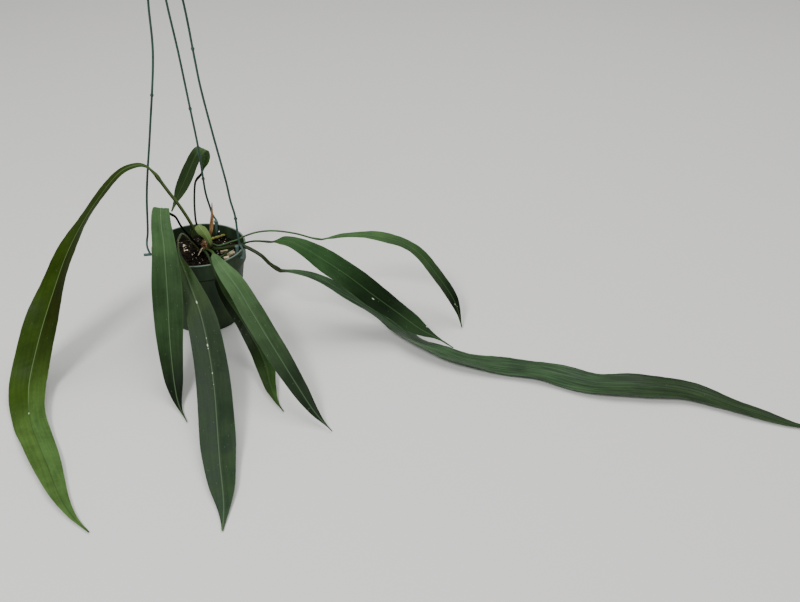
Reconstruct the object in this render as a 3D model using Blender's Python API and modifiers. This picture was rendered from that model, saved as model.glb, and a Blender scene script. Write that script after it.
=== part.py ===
"""Anthurium vittariifolium, a strap-leaved aroid, standing in its hanging nursery pot.

Ten leaves grow from one short crown in a thin-walled plastic pot. A moulded
plastic hanger with three strands rises from the pot and ends in a hook. The
origin is the centre of the pot's flat underside, +Z is up, +X runs along the
longest leaf and -Y is the side that most leaves hang over.

Lengths and places are in millimetres, and MM turns them into metres when a
mesh is made.
"""

import math
import random

import bmesh
import bpy
from mathutils import Vector, noise

MM = 0.001
GAP = 0.3
COLLECTION = "anthurium_vittariifolium"

# Pot
RIM_RADIUS = 55.0
POT_HEIGHT = 98.0
BASE_RADIUS = 41.0
WALL = 1.4
FLOOR = 2.0
FLOOR_CORNER = 2.0
COLLAR_HEIGHT = 20.0
COLLAR_STEP = 2.2
COLLAR_EASE = 1.0
LIP = 0.8
LIP_EDGE = 0.8
LIP_DEPTH = 2.0
POT_SIDES = 40
DRAIN_HOLES = 6
DRAIN_RADIUS = 4.0
DRAIN_CIRCLE = 29.0
STRAND_HOLE_RADIUS = 2.5
STRAND_HOLE_DROP = 8.5
STRAND_AZIMUTHS = {"back": 75.0, "left": 190.0, "front": 341.0}
CUTTER_REACH = 10.0

# Potting mix, and the chips that stand out of it
MIX_LEVEL = 83.0
MIX_MOUND = 3.0
MIX_MOUND_SPREAD = 500.0
MIX_GRAIN = 1.2
MIX_RINGS = 7
CHIPS = 18
CHIP_LENGTH = (2.2, 4.2)
CHIP_NARROW = 0.55
CHIP_HEIGHT = 2.6
CHIP_TILT = 0.3
CHIP_SPACING = 5.5
CHIP_FROM_WALL = 6.0
CHIP_FROM_CROWN = 15.0

# Crown
CROWN_X = 7.0
CROWN_Y = 7.0
CROWN_RADIUS = 7.5
CROWN_FOOT = 62.0
CROWN_TOP = 99.0
CROWN_SHOULDER = 90.0
CROWN_TAPER = 0.35
CROWN_BLUNT = 2.0
CROWN_KNOB = 0.2
CROWN_SIDES = 14
CROWN_HEIGHTS = (CROWN_FOOT, 70.0, 78.0, 85.0, 88.0, 90.0, 92.0, 94.0, 96.0, 98.0, CROWN_TOP)
ROOT_CURL_RADIUS = 0.8
ROOT_STUB_RADIUS = 1.5
SEAT = 0.35
SEAT_LEAD = 2.5
SEAT_DROP = 1.4

# Hanger
STRAND_RADIUS = 1.25
STRAND_STEP = 17.0
STOP_RADIUS = 2.0
STOP_HALF = 1.6
APEX = (-9.0, -5.0, 500.0)
KNUCKLE_RADIUS = 3.4
KNUCKLE_BELOW = 9.0
KNUCKLE_ABOVE = 4.0
HOOK_RADIUS = 16.0
HOOK_ROD = 2.0
HOOK_STEM = 12.0
HOOK_TURN = 255.0
HOOK_POINTS = 15
PIN_RADIUS = 1.5
PIN_OUTSIDE = 2.4
PIN_INSIDE = 2.2
PIN_OVER = 0.8
PEG_RADIUS = 1.75
PEG_RISE = 14.5
PEG_DROP = 2.5
PEG_SIDEWAYS = 8.0
STAY_RADIUS = 1.6
STAY_HALF = 5.0
CAP_RADIUS = 2.4
CAP_BELOW = 2.2
CAP_ABOVE = 0.6

# Leaves: lateral places of a section's points, and the blade's thickness
ACROSS = (-1.0, -0.42, 0.0, 0.42, 1.0)
BLADE = 0.8
RIB_ABOVE = 0.3
RIB_BELOW = 0.9
NECK = 15.0
JOINT_SWELL = 0.3
JOINT_REACH = 5.0
MARGIN_LAG = 0.37
PETIOLE_STEP = 8.0
TIP_HALF_WIDTH = 0.9
TABLE_EASE = 0.02

GREEN_POT = (0.018, 0.040, 0.026)
GREEN_HANGER = (0.020, 0.062, 0.055)
LEAF_SKINS = {
    "leaf_skin": (0.035, 0.105, 0.045),
    "leaf_skin_bright": (0.075, 0.190, 0.030),
    "leaf_skin_young": (0.170, 0.300, 0.070),
}
GREEN_ROOT = (0.36, 0.36, 0.075)
BROWN_MIX = (0.012, 0.009, 0.007)
BROWN_CROWN = (0.16, 0.075, 0.030)
TAN_SHEATH = (0.42, 0.20, 0.065)


def leaf(name, seat, petiole, blade, widths, facing, **extra):
    """One leaf's description, with the values that most leaves share."""
    values = {
        "name": name,
        "seat": seat,
        "petiole": petiole,
        "blade": blade,
        "widths": widths,
        "facing": facing,
        "petiole_radius": 1.5,
        "fold": ((0, 6), (1, 6)),
        "wave": (1.0, 60.0, 0.0),
        "step": 10.5,
        "skin": "leaf_skin",
    }
    values.update(extra)
    return values


# A leaf's seat on the crown is an azimuth in degrees and a height. Its petiole
# and blade follow routes chosen by hand. Three tables go by the fraction of
# the blade's length: widths are the blade's half-widths, facing is the way its
# upper surface looks, and fold is how far its halves rise off the midrib in
# degrees. Wave is the margins' height, length and phase.
LEAVES = [
    leaf(
        "leaf_left_arch", (183.0, 91.0),
        [(-5.8, 5.8, 92.6), (-7.9, 4.6, 98), (-8, 3, 105), (-6.9, 1.5, 113), (-5, 0, 122),
         (-13, -11, 151), (-23, -22, 178), (-31.3, -31.1, 201.2)],
        [(-38.2, -37.5, 212.6), (-48.3, -43.3, 216.8), (-65, -50.6, 211), (-85.7, -60.5, 189.2),
         (-108, -75.3, 159.5), (-125.1, -91, 130), (-139.8, -110.2, 94.7), (-153.3, -129, 59.1),
         (-164, -154, 21), (-161.1, -179, 9), (-147.4, -219.1, 5), (-130.2, -251.1, 4.5),
         (-105.6, -294.5, 4.5), (-84.2, -332.1, 4), (-64.4, -358.7, 3), (-44.8, -377.5, 1.8)],
        [(0, 1.8), (0.21, 14.2), (0.29, 17.5), (0.38, 20), (0.46, 21), (0.54, 21.3),
         (0.59, 20.8), (0.63, 18.3), (0.71, 16), (0.75, 15.5), (0.79, 14.3), (0.87, 9.7),
         (0.96, 2.4), (1, 0.4)],
        [(0, (0.6, -0.1, 0.8)), (0.04, (0.4, -0.09, 0.91)), (0.09, (-0.49, -0.29, 0.82)),
         (0.13, (-0.64, -0.32, 0.7)), (0.21, (-0.69, -0.34, 0.64)), (0.29, (-0.6, -0.54, 0.59)),
         (0.38, (-0.38, -0.76, 0.53)), (0.42, (-0.22, -0.83, 0.51)), (0.5, (-0.03, -0.83, 0.56)),
         (0.54, (-0.02, -0.64, 0.76)), (0.59, (-0.23, -0.25, 0.94)),
         (0.63, (-0.22, -0.15, 0.96)), (0.71, (-0.03, -0.01, 1)), (0.75, (0, 0, 1)),
         (1, (0, 0, 1))],
        petiole_radius=2.1,
        fold=((0, 8), (0.2, 9), (0.33, 14), (0.42, 18), (0.5, 14), (0.6, 8), (1, 6)),
        wave=(1, 85, 0.1), step=12.5, skin="leaf_skin_bright",
    ),
    leaf(
        "leaf_front_left", (208.0, 94.0),
        [(-5.5, -12, 113), (-11, -28, 135.5), (-13.5, -38, 152), (-17, -47, 161)],
        [(-20.9, -56.8, 170.7), (-21.7, -66, 175), (-20.4, -78, 161), (-17.4, -90, 142.1),
         (-13.6, -118, 96.1), (-12, -136, 63), (-9.4, -152, 39), (-5.1, -170, 17.1),
         (1.8, -190.1, 5), (15, -216, 1.8)],
        [(0, 2.1), (0.02, 3.5), (0.05, 6.8), (0.1, 9.5), (0.39, 16.2), (0.48, 16.4),
         (0.57, 15.2), (0.7, 12.4), (0.79, 9.9), (0.91, 2.1), (0.96, 0.8), (1, 0.4)],
        [(0, (0.1, 0.4, 1)), (0.12, (0, -0.2, 1)), (0.28, (0.15, -0.8, 0.6)),
         (0.8, (0.15, -0.75, 0.6)), (1, (0.2, -0.4, 0.9))],
        petiole_radius=1.3, fold=((0, 5), (1, 5)), wave=(0.8, 70, 0.4),
    ),
    leaf(
        "leaf_front_centre", (226.0, 89.5),
        [(-3, -8, 100), (-4, -20, 111.5), (-6.5, -29, 123.5), (-9.5, -38, 131), (-12, -48, 128)],
        [(-9.6, -60, 115), (2.4, -82.1, 94.8), (15.8, -107.2, 76.7), (25.2, -131, 61.5),
         (36.3, -168, 45.5), (45.8, -208, 31.6), (53.8, -250, 18.5), (61.5, -289.9, 9),
         (70.3, -329.8, 4), (74.4, -354.8, 2.4), (76.4, -375.5, 1.6)],
        [(0, 1.2), (0.045, 1.4), (0.07, 4.5), (0.11, 8.5), (0.24, 15.1), (0.28, 16.6),
         (0.37, 17.6), (0.62, 18.7), (0.7, 18.5), (0.83, 14), (0.87, 11.6), (0.91, 7.4), (0.96, 3.1), (1, 0.4)],
        [(0, (0.1, -0.75, 0.65)), (0.2, (0, -0.5, 0.8)), (0.6, (-0.08, -0.3, 0.95)),
         (1, (0, 0, 1))],
        petiole_radius=1.0, fold=((0, 8), (1, 8)), wave=(0.8, 90, 0.7), step=12.0,
    ),
    leaf(
        "leaf_front_right", (-72.0, 92.0),
        [(15, -13, 96.5), (21, -26, 101)],
        [(28.1, -46.5, 103.6), (38.5, -66.5, 102.6), (58.3, -92.1, 91.9), (75.6, -118.3, 78.5),
         (92.7, -143.4, 64.8), (109.8, -167.2, 50.7), (132.2, -196.3, 30.5), (149.5, -214.5, 13),
         (167.8, -232, 2.2)],
        [(0, 1.2), (0.02, 2), (0.04, 3.7), (0.22, 10.8), (0.43, 12.8), (0.57, 12.1),
         (0.61, 12.3), (0.69, 11.2), (0.78, 9.3), (0.82, 8.3), (0.91, 4), (0.96, 0.9), (1, 0.4)],
        [(0, (0, -0.2, 1)), (0.25, (-0.1, -0.5, 0.85)), (1, (-0.1, -0.55, 0.8))],
        petiole_radius=1.5, fold=((0, 8), (1, 8)), wave=(0.8, 70.0, 0.2),
    ),
    leaf(
        "leaf_front_low", (-100.0, 90.0),
        [(11, -18, 97), (18, -36, 100), (23.5, -50, 100.2), (27.5, -59, 97)],
        [(31.5, -66, 86), (38, -70, 71), (50.1, -77, 53), (66.1, -90, 32.1), (79.1, -108, 19.1),
         (88.6, -130.3, 11), (95.8, -157.4, 6), (104.9, -181.8, 3.5), (114.1, -197.9, 2)],
        [(0, 0.9), (0.08, 4.2), (0.2, 7), (0.34, 8), (0.47, 10.3), (0.6, 10.9), (0.69, 9.5),
         (0.78, 6.6), (0.82, 5.9), (0.86, 3.7), (0.95, 1.1), (1, 0.5)],
        [(0, (0.2, -0.85, 0.45)), (0.5, (-0.1, -0.8, 0.6)), (0.8, (0, -0.2, 1)), (1, (0, 0, 1))],
        petiole_radius=1.3, wave=(0.6, 60.0, 0.5),
    ),
    leaf(
        "leaf_right_wide", (-52.0, 88.3),
        [(23.5, -13.6, 88.3), (28.8, -12.2, 88.6), (34, -8, 90.9), (39.5, -5, 94.1), (47.1, -3, 97.3),
         (55.9, -6, 102.7), (64.7, -12, 108), (75, -19, 112), (89, -24, 113.5)],
        [(107, -27.2, 116.2), (124.8, -30.2, 110.2), (151.4, -34.5, 94.1), (178.3, -40.3, 76.9),
         (205.6, -46.9, 56.6), (233.8, -55.2, 37.7), (261.8, -68.2, 22.2), (283.1, -78.9, 15.6),
         (299.2, -92.6, 12.5)],
        [(0, 3.3), (0.02, 5.4), (0.05, 7.7), (0.09, 8.7), (0.13, 11.4), (0.26, 14.9),
         (0.3, 15.7), (0.56, 15.9), (0.61, 15.5), (0.69, 12.7), (0.78, 11.7), (0.83, 8.4),
         (0.91, 1.3), (1, 0.5)],
        [(0, (0, -0.1, 1)), (0.15, (0.2, -0.35, 0.9)), (0.35, (0.3, -0.6, 0.75)),
         (1, (0.2, -0.5, 0.85))],
        petiole_radius=1.2, wave=(0.9, 62, 0.3),
    ),
    leaf(
        "leaf_right_thin", (-6.0, 94.5),
        [(22.5, 1.5, 95), (29.8, 1.5, 97), (38, 3, 99.6), (46, 4, 101.8), (54, 6, 105.5),
         (70, 8, 110), (90, 10, 110.5), (113.5, 11, 106.5), (133, 12, 100), (144.5, 12, 98)],
        [(158, 12.1, 100.6), (173, 10.7, 104), (200.9, 8.4, 105.1), (224.8, 5.7, 101.9),
         (244.6, 2.5, 95.9), (262.5, -2.2, 83.9), (280.5, -8.2, 62.7), (299.9, -15.5, 35.4),
         (307.9, -21.9, 18.1), (312.4, -33.5, 2.4)],
        [(0, 1.4), (0.04, 2.4), (0.17, 7.5), (0.3, 10.6), (0.39, 11.5), (0.65, 11.5),
         (0.69, 11.3), (0.77, 9.6), (0.86, 6.3), (0.95, 1.7), (1, 0.5)],
        [(0, (-0.18, -0.12, 0.98)), (0.04, (-0.18, -0.12, 0.98)), (0.08, (-0.32, -0.02, 0.95)),
         (0.13, (-0.15, 0.04, 0.99)), (0.39, (0.28, -0.07, 0.96)), (0.6, (0.67, -0.2, 0.71)),
         (0.69, (0.68, -0.37, 0.63)), (0.77, (0.68, -0.44, 0.59)), (0.86, (0.55, -0.66, 0.51)),
         (0.91, (0.54, -0.7, 0.47)), (0.95, (0.58, -0.63, 0.52)), (1, (0.21, -0.83, 0.51))],
        petiole_radius=1.15, fold=((0, 5), (1, 5)), wave=(0.6, 60.0, 0.1),
    ),
    leaf(
        "leaf_right_long", (-30.0, 91.5),
        [(20.3, -2, 92.5), (29.2, -5, 95), (44.3, -9, 99.9), (56.1, -12, 101.3), (75, -20, 94.5),
         (86, -23, 84), (98, -25, 76)],
        [(114, -26.1, 75.4), (132, -26.1, 70.9), (150.9, -27.1, 61.9), (172.9, -29.1, 47.4),
         (207.3, -34.6, 26), (232.6, -45.1, 10.6), (256.4, -74, 9.5), (282.4, -92.1, 8.5),
         (309.2, -105.8, 6.5), (339.9, -115.5, 5), (394.9, -128.7, 5), (450.1, -153.8, 6),
         (499.1, -161.6, 9), (551.1, -168.5, 6.5), (605.4, -198.3, 4), (642.5, -218.8, 3),
         (665.6, -226.6, 2)],
        [(0, 1.5), (0.02, 2.5), (0.09, 9), (0.13, 11.5), (0.22, 14.5), (0.3, 16.2), (0.42, 17.7),
         (0.63, 18.5), (0.75, 18.2), (0.79, 16.5), (0.87, 11.5), (0.91, 9.8), (0.96, 5),
         (1, 1.8)],
        [(0, (0.04, -0.32, 0.95)), (0.02, (0.04, -0.32, 0.95)), (0.05, (0.3, -0.28, 0.91)),
         (0.09, (0.49, -0.14, 0.86)), (0.13, (0.53, 0, 0.85)), (0.22, (0.45, 0.03, 0.89)),
         (0.26, (0.36, 0.11, 0.93)), (0.3, (0.35, 0.23, 0.91)), (0.34, (0.27, 0.25, 0.93)),
         (0.42, (0.04, 0.16, 0.99)), (0.59, (-0.03, -0.04, 1)), (0.67, (-0.09, -0.03, 1)),
         (0.75, (0.05, -0.08, 1)), (0.87, (0.04, 0, 1)), (1, (0, 0, 1))],
        petiole_radius=2.2, fold=((0, 5), (1, 5)), wave=(1, 74, 0.25), step=13.5,
    ),
    leaf(
        "leaf_back", (125.0, 96.5),
        [(-2.6, 13, 118), (-5, 22, 128), (-6.2, 32, 140), (-6.2, 43, 153.5), (-4.8, 49, 158.5),
         (0.7, 55, 163.5)],
        [(2.4, 57.4, 168.6), (4.8, 59.1, 176.2), (6.5, 59.5, 185), (6.3, 58.4, 193.2),
         (4, 54.3, 195.6), (-0.6, 48.6, 192.1), (-7.6, 41.7, 179.3), (-15.1, 34.7, 164.3),
         (-22.9, 27.9, 149.5), (-32, 20, 130.8)],
        [(0, 1), (0.07, 2.6), (0.11, 4.9), (0.2, 7.2), (0.34, 7.8), (0.57, 11.9), (0.7, 10.8),
         (0.8, 8.1), (0.9, 3.3), (1, 1)],
        [(0, (0.5, 0.85, 0)), (0.2, (0.5, 0.85, 0.25)), (0.36, (0.3, 0.1, 1)),
         (0.5, (-0.4, -0.5, 0.8)), (1, (-0.45, -0.6, 0.6))],
        petiole_radius=1.3, fold=((0, 5), (1, 5)), wave=(0.4, 50.0, 0.0), step=6.0,
    ),
    leaf(
        "leaf_young", (-45.0, 96.0),
        [(15.5, -2.5, 95.4)],
        [(16.2, -5, 97), (16, -8, 101.5), (14.1, -9, 107.9), (11.2, -9, 114.7), (7.8, -8, 120.1),
         (5, -6, 123.6), (3.8, -3, 124.6), (4.4, 1, 123.6)],
        [(0, 1), (0.2, 2.6), (0.45, 4.9), (0.68, 6.6), (0.88, 6.4), (0.96, 4.4), (1, 1.4)],
        [(0, (0.1, 0.95, -0.1)), (0.55, (0.1, 0.8, -0.6)), (0.8, (0, 0.3, -1)),
         (1, (0, -0.2, -1))],
        petiole_radius=1.0, fold=((0, 28), (1, 24)), wave=(0.2, 20.0, 0.0), step=3.0,
        skin="leaf_skin_young",
    ),
]

# Strand routes from the outside of the collar to the apex
STRANDS = {
    "left": [(-58.2, -10.5, 99), (-57.5, -11, 108), (-54.5, -12, 122), (-50, -13, 163),
             (-45, -13, 195), (-36, -12, 245), (-22.5, -11, 327), (-20.2, -10, 386),
             (-15, -8, 445)],
    "back": [(12.5, 57.8, 99), (8.4, 56, 109.5), (7.8, 49, 123), (6.3, 40, 146), (6.5, 33, 174.5),
             (6.1, 27, 212), (3.3, 20, 262), (-0.4, 11, 326), (-4.8, 3, 382.5), (-8, -2, 445)],
    "front": [(55.6, -19, 97.5), (54.2, -19.2, 103), (51.8, -19.6, 110), (50.8, -20, 124.3),
              (49.9, -20.8, 145.4), (46.5, -22, 165), (44, -22.5, 187),
              (38.8, -20, 215), (32.8, -18, 248), (25, -14, 293), (21.4, -12, 325),
              (15.2, -9, 385), (4, -6, 445)],
}
# Small moulded stops along a strand, as fractions of its length
STRAND_STOPS = {"left": (0.48,), "back": (0.2, 0.42), "front": (0.13, 0.6)}

CATAPHYLL_SEAT = (68.0, 89.0)
CATAPHYLL = [(10.3, 17.5, 92.5), (10.8, 20, 97), (12.6, 21, 108), (14.4, 22, 120), (15.4, 22.5, 130),
             (16.2, 23, 141)]
CATAPHYLL_WIDTHS = [(0, 0.8), (0.15, 1.9), (0.38, 2.9), (0.6, 2.4), (0.85, 1.1), (1, 0.5)]
ROOT_STUB_SEAT = (105.0, 88.6)
ROOT_STUB = [(4.8, 24, 88.4), (8, 31.5, 88), (12.5, 36.4, 87.4), (16.3, 39.2, 87.2),
             (20.6, 42.9, 87.2), (23.3, 44.1, 87.8)]
ROOT_CURL = [(4.6, 3.5, 92), (3.4, -0.5, 92), (2.2, -4.5, 90.8), (1, -7.4, 89.2), (0, -10, 87.8)]


def clear_scene():
    """Remove what the file opened with."""
    for old in list(bpy.data.objects):
        bpy.data.objects.remove(old, do_unlink=True)


def new_collection(name):
    """A collection in the scene's root."""
    collection = bpy.data.collections.new(name)
    bpy.context.scene.collection.children.link(collection)
    return collection


def new_material(name, colour, roughness, metallic=0.0):
    """A plain Principled material in linear colour."""
    material = bpy.data.materials.new(name)
    material.use_nodes = True
    shader = material.node_tree.nodes["Principled BSDF"]
    shader.inputs["Base Color"].default_value = (*colour, 1.0)
    shader.inputs["Roughness"].default_value = roughness
    shader.inputs["Metallic"].default_value = metallic
    return material


def add_object(name, mesh, material, collection, smooth=True):
    """Link a mesh as a named object with one material."""
    mesh.name = name
    body = bpy.data.objects.new(name, mesh)
    collection.objects.link(body)
    mesh.materials.clear()
    mesh.materials.append(material)
    if smooth:
        mesh.shade_smooth()
        mesh.set_sharp_from_angle(angle=math.radians(40.0))
    return body


def mesh_from(vertices, faces):
    """A closed mesh from millimetre points, with its faces turned outward."""
    mesh = bpy.data.meshes.new("solid")
    mesh.from_pydata([tuple(Vector(v) * MM) for v in vertices], [], faces)
    body = bmesh.new()
    body.from_mesh(mesh)
    bmesh.ops.recalc_face_normals(body, faces=body.faces)
    body.to_mesh(mesh)
    body.free()
    return mesh


def baked(source, weld=False):
    """The evaluated mesh of an object in world space, with the object removed."""
    graph = bpy.context.evaluated_depsgraph_get()
    mesh = bpy.data.meshes.new_from_object(source.evaluated_get(graph))
    mesh.transform(source.matrix_world)
    if weld:
        body = bmesh.new()
        body.from_mesh(mesh)
        bmesh.ops.remove_doubles(body, verts=body.verts, dist=0.00001)
        bmesh.ops.recalc_face_normals(body, faces=body.faces)
        body.to_mesh(mesh)
        body.free()
    bpy.data.objects.remove(source, do_unlink=True)
    return mesh


def smooth_route(points, step):
    """Points about one step apart along a smooth curve through the given ones."""
    knots = [Vector(p) for p in points]
    ends = [2 * knots[0] - knots[1]] + knots + [2 * knots[-1] - knots[-2]]
    fine = []
    for i in range(1, len(ends) - 2):
        a, b, c, d = ends[i - 1:i + 3]
        for k in range(24):
            t = k / 24
            fine.append(0.5 * (2 * b + (c - a) * t + (2 * a - 5 * b + 4 * c - d) * t * t
                               + (3 * b - a - 3 * c + d) * t ** 3))
    fine.append(knots[-1])
    lengths = [0.0]
    for before, after in zip(fine, fine[1:]):
        lengths.append(lengths[-1] + (after - before).length)
    count = max(2, round(lengths[-1] / step))
    route = []
    j = 0
    for i in range(count + 1):
        target = lengths[-1] * i / count
        while j < len(fine) - 2 and lengths[j + 1] < target:
            j += 1
        share = (target - lengths[j]) / max(lengths[j + 1] - lengths[j], 1e-9)
        route.append(fine[j].lerp(fine[j + 1], min(1.0, share)))
    return route, lengths[-1]


def crown_radius(height):
    """The crown's radius, which tapers above its shoulder."""
    return CROWN_RADIUS - max(0.0, height - CROWN_SHOULDER) * CROWN_TAPER


def crown_seat(azimuth, height):
    """A point just off the crown's side, and one straight out from it."""
    angle = math.radians(azimuth)
    outward = Vector((math.cos(angle), math.sin(angle), 0.0))
    middle = Vector((CROWN_X, CROWN_Y, height))
    reach = crown_radius(height - SEAT_DROP) + SEAT
    return [middle + outward * reach, middle + outward * (reach + SEAT_LEAD)]


def smoothstep(value):
    """Ease from 0 to 1."""
    value = min(1.0, max(0.0, value))
    return value * value * (3.0 - 2.0 * value)


def facing_at(facing, place):
    """The upper surface's direction at a fraction of the blade."""
    if place <= facing[0][0]:
        return Vector(facing[0][1])
    for (low, before), (high, after) in zip(facing, facing[1:]):
        if place <= high:
            return Vector(before).lerp(Vector(after), (place - low) / (high - low))
    return Vector(facing[-1][1])


def table_value(table, place):
    """A table's value at a fraction of the blade, straight between its entries."""
    for (low, before), (high, after) in zip(table, table[1:]):
        if place <= high:
            return before + (after - before) * (place - low) / (high - low)
    return table[-1][1]


def eased_value(table, place):
    """The same, with the table's corners rounded off."""
    spots = [min(1.0, max(0.0, place + shift)) for shift in (-TABLE_EASE, 0.0, TABLE_EASE)]
    return sum(table_value(table, spot) for spot in spots) / len(spots)


def leaf_section(centre, across, up, place, along, form):
    """Ring of points round a leaf: round on the petiole, thin and folded on the blade."""
    radius = form["petiole_radius"]
    swell = 1.0 + JOINT_SWELL * math.exp(-((along + JOINT_REACH) / JOINT_REACH) ** 2)
    blend = 0.0
    half = radius
    if along >= 0.0:
        blend = smoothstep(along / NECK)
        half = max(radius * (1.0 - blend), eased_value(form["widths"], place), TIP_HALF_WIDTH)
    fold = math.radians(eased_value(form["fold"], place))
    height, length, phase = form["wave"]
    calm = math.sin(math.pi * min(1.0, max(0.0, place))) ** 0.5
    rib = 1.0 - 0.8 * place
    ring = []
    for side in (1, -1):
        places = ACROSS if side == 1 else tuple(reversed(ACROSS))
        for k, u in enumerate(places):
            angle = math.radians((162.0 if side == 1 else -18.0) - 36.0 * k)
            round_point = (across * math.cos(angle) + up * math.sin(angle)) * radius * swell
            lag = MARGIN_LAG if u > 0 else 0.0
            swing = math.sin(2.0 * math.pi * (along / length + phase + lag))
            lift = abs(u) * half * math.sin(fold) + height * calm * u * u * swing
            thick = side * BLADE / 2
            if u == 0.0:
                thick += rib * RIB_ABOVE if side == 1 else -rib * RIB_BELOW
            flat_point = across * (u * half * math.cos(fold)) + up * (lift + thick)
            ring.append(centre + round_point.lerp(flat_point, blend))
    return ring


def loft_faces(rings, width):
    """Triangles between rings whose first half is the upper face and second the lower.

    Both faces are split along the same diagonals, so a thin waved blade never
    cuts through itself.
    """
    size = 2 * width
    faces = []
    for j in range(rings - 1):
        here = j * size
        there = here + size
        for k in range(width - 1):
            mirror = size - 1 - k
            left = k < (width - 1) / 2
            for a, b in ((k, k + 1), (mirror, mirror - 1)):
                if left:
                    faces.append((here + a, here + b, there + a))
                    faces.append((here + b, there + b, there + a))
                else:
                    faces.append((here + a, here + b, there + b))
                    faces.append((here + a, there + b, there + a))
        for a, b in ((width - 1, width), (0, size - 1)):
            faces.append((here + a, here + b, there + b))
            faces.append((here + a, there + b, there + a))
    for start in (0, (rings - 1) * size):
        for k in range(width - 1):
            mirror = size - 1 - k
            faces.append((start + k, start + k + 1, start + mirror - 1))
            faces.append((start + k, start + mirror - 1, start + mirror))
    return faces


def build_leaf(form, collection, material):
    """One leaf as a single loft from its petiole's foot to its tip."""
    seat, lead = crown_seat(*form["seat"])
    joint = form["petiole"][-1]
    stalk, stalk_length = smooth_route([lead] + form["petiole"], PETIOLE_STEP)
    stalk = [seat] + stalk
    blade, blade_length = smooth_route([joint] + form["blade"], form["step"])
    centres = stalk + blade[1:]
    vertices = []
    for i, centre in enumerate(centres):
        before = centres[max(0, i - 1)]
        after = centres[min(len(centres) - 1, i + 1)]
        tangent = (after - before).normalized()
        if i < len(stalk):
            along = (i / (len(stalk) - 1) - 1.0) * stalk_length
            place = 0.0
        else:
            place = (i - len(stalk) + 1) / (len(blade) - 1)
            along = place * blade_length
        face = facing_at(form["facing"], place)
        up = (face - tangent * face.dot(tangent)).normalized()
        across = tangent.cross(up)
        vertices += leaf_section(centre, across, up, place, along, form)
    mesh = mesh_from(vertices, loft_faces(len(centres), len(ACROSS)))
    return add_object(form["name"], mesh, material, collection)


def turned(name, profile, sides):
    """A closed body of revolution about Z from a profile of (radius, height)."""
    mesh = bpy.data.meshes.new(name)
    points = [(r * MM, 0.0, z * MM) for r, z in profile]
    mesh.from_pydata(points, [(i, i + 1) for i in range(len(points) - 1)], [])
    body = bpy.data.objects.new(name, mesh)
    bpy.context.scene.collection.objects.link(body)
    screw = body.modifiers.new("turn", "SCREW")
    screw.axis = "Z"
    screw.steps = sides
    screw.render_steps = sides
    screw.use_merge_vertices = True
    screw.merge_threshold = 0.00001
    return body


def cylinder(name, radius, depth, place, direction, collection, sides=16):
    """A capped cylinder centred on a place, along a direction."""
    body = bmesh.new()
    bmesh.ops.create_cone(body, cap_ends=True, segments=sides, radius1=radius * MM,
                          radius2=radius * MM, depth=depth * MM)
    mesh = bpy.data.meshes.new(name)
    body.to_mesh(mesh)
    body.free()
    shape = bpy.data.objects.new(name, mesh)
    shape.location = Vector(place) * MM
    shape.rotation_mode = "QUATERNION"
    shape.rotation_quaternion = Vector(direction).to_track_quat("Z", "Y")
    collection.objects.link(shape)
    return shape


def hide_cutters(collection):
    """Cutters stay in the file but out of the model."""
    for cutter in collection.objects:
        cutter.hide_render = True
        cutter.display_type = "WIRE"


def boolean(body, operation, collection):
    """Cut a body by, or join it with, every mesh in a collection."""
    modifier = body.modifiers.new(operation.lower(), "BOOLEAN")
    modifier.operation = operation
    modifier.operand_type = "COLLECTION"
    modifier.collection = collection
    modifier.solver = "EXACT"
    return modifier


def pot_radius(height):
    """Outer radius of the pot's wall below the collar, at a height."""
    shoulder = RIM_RADIUS - LIP - COLLAR_STEP
    share = height / (POT_HEIGHT - COLLAR_HEIGHT)
    return BASE_RADIUS + (shoulder - BASE_RADIUS) * share


def strand_hole(azimuth):
    """Direction out of the pot through a strand's hole, and the hole's centre."""
    angle = math.radians(azimuth)
    outward = Vector((math.cos(angle), math.sin(angle), 0.0))
    centre = outward * (RIM_RADIUS - LIP - WALL / 2)
    centre.z = POT_HEIGHT - STRAND_HOLE_DROP
    return outward, centre


def build_pot(collection, cutters):
    """Thin wall with a lip, a collar that steps in, and a flat floor with holes."""
    collar_foot = POT_HEIGHT - COLLAR_HEIGHT
    outer = RIM_RADIUS - LIP
    shoulder = outer - COLLAR_STEP
    profile = [
        (0.0, FLOOR),
        (BASE_RADIUS - WALL - FLOOR_CORNER, FLOOR),
        (pot_radius(FLOOR + FLOOR_CORNER) - WALL, FLOOR + FLOOR_CORNER),
        (shoulder - WALL, collar_foot + COLLAR_EASE),
        (outer - WALL, collar_foot + 2.0 * COLLAR_EASE),
        (outer - WALL, POT_HEIGHT - LIP_EDGE),
        (outer - WALL + LIP_EDGE / 2, POT_HEIGHT),
        (outer + LIP / 2, POT_HEIGHT),
        (RIM_RADIUS, POT_HEIGHT - LIP_EDGE),
        (RIM_RADIUS, POT_HEIGHT - LIP_DEPTH),
        (outer, POT_HEIGHT - LIP_DEPTH - LIP_EDGE),
        (outer, collar_foot),
        (shoulder, collar_foot - COLLAR_EASE),
        (pot_radius(FLOOR_CORNER), FLOOR_CORNER),
        (BASE_RADIUS - COLLAR_EASE, 0.0),
        (0.0, 0.0),
    ]
    body = turned("pot", profile, POT_SIDES)
    for i in range(DRAIN_HOLES):
        angle = 2.0 * math.pi * (i + 0.5) / DRAIN_HOLES
        place = (DRAIN_CIRCLE * math.cos(angle), DRAIN_CIRCLE * math.sin(angle), FLOOR / 2)
        cylinder("drain_cutter", DRAIN_RADIUS, CUTTER_REACH, place, (0, 0, 1), cutters)
    for azimuth in STRAND_AZIMUTHS.values():
        outward, centre = strand_hole(azimuth)
        cylinder("strand_cutter", STRAND_HOLE_RADIUS, CUTTER_REACH, centre, outward, cutters, 12)
    boolean(body, "DIFFERENCE", cutters)
    material = new_material("pot_plastic", GREEN_POT, 0.42)
    return add_object("pot", baked(body), material, collection)


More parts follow.
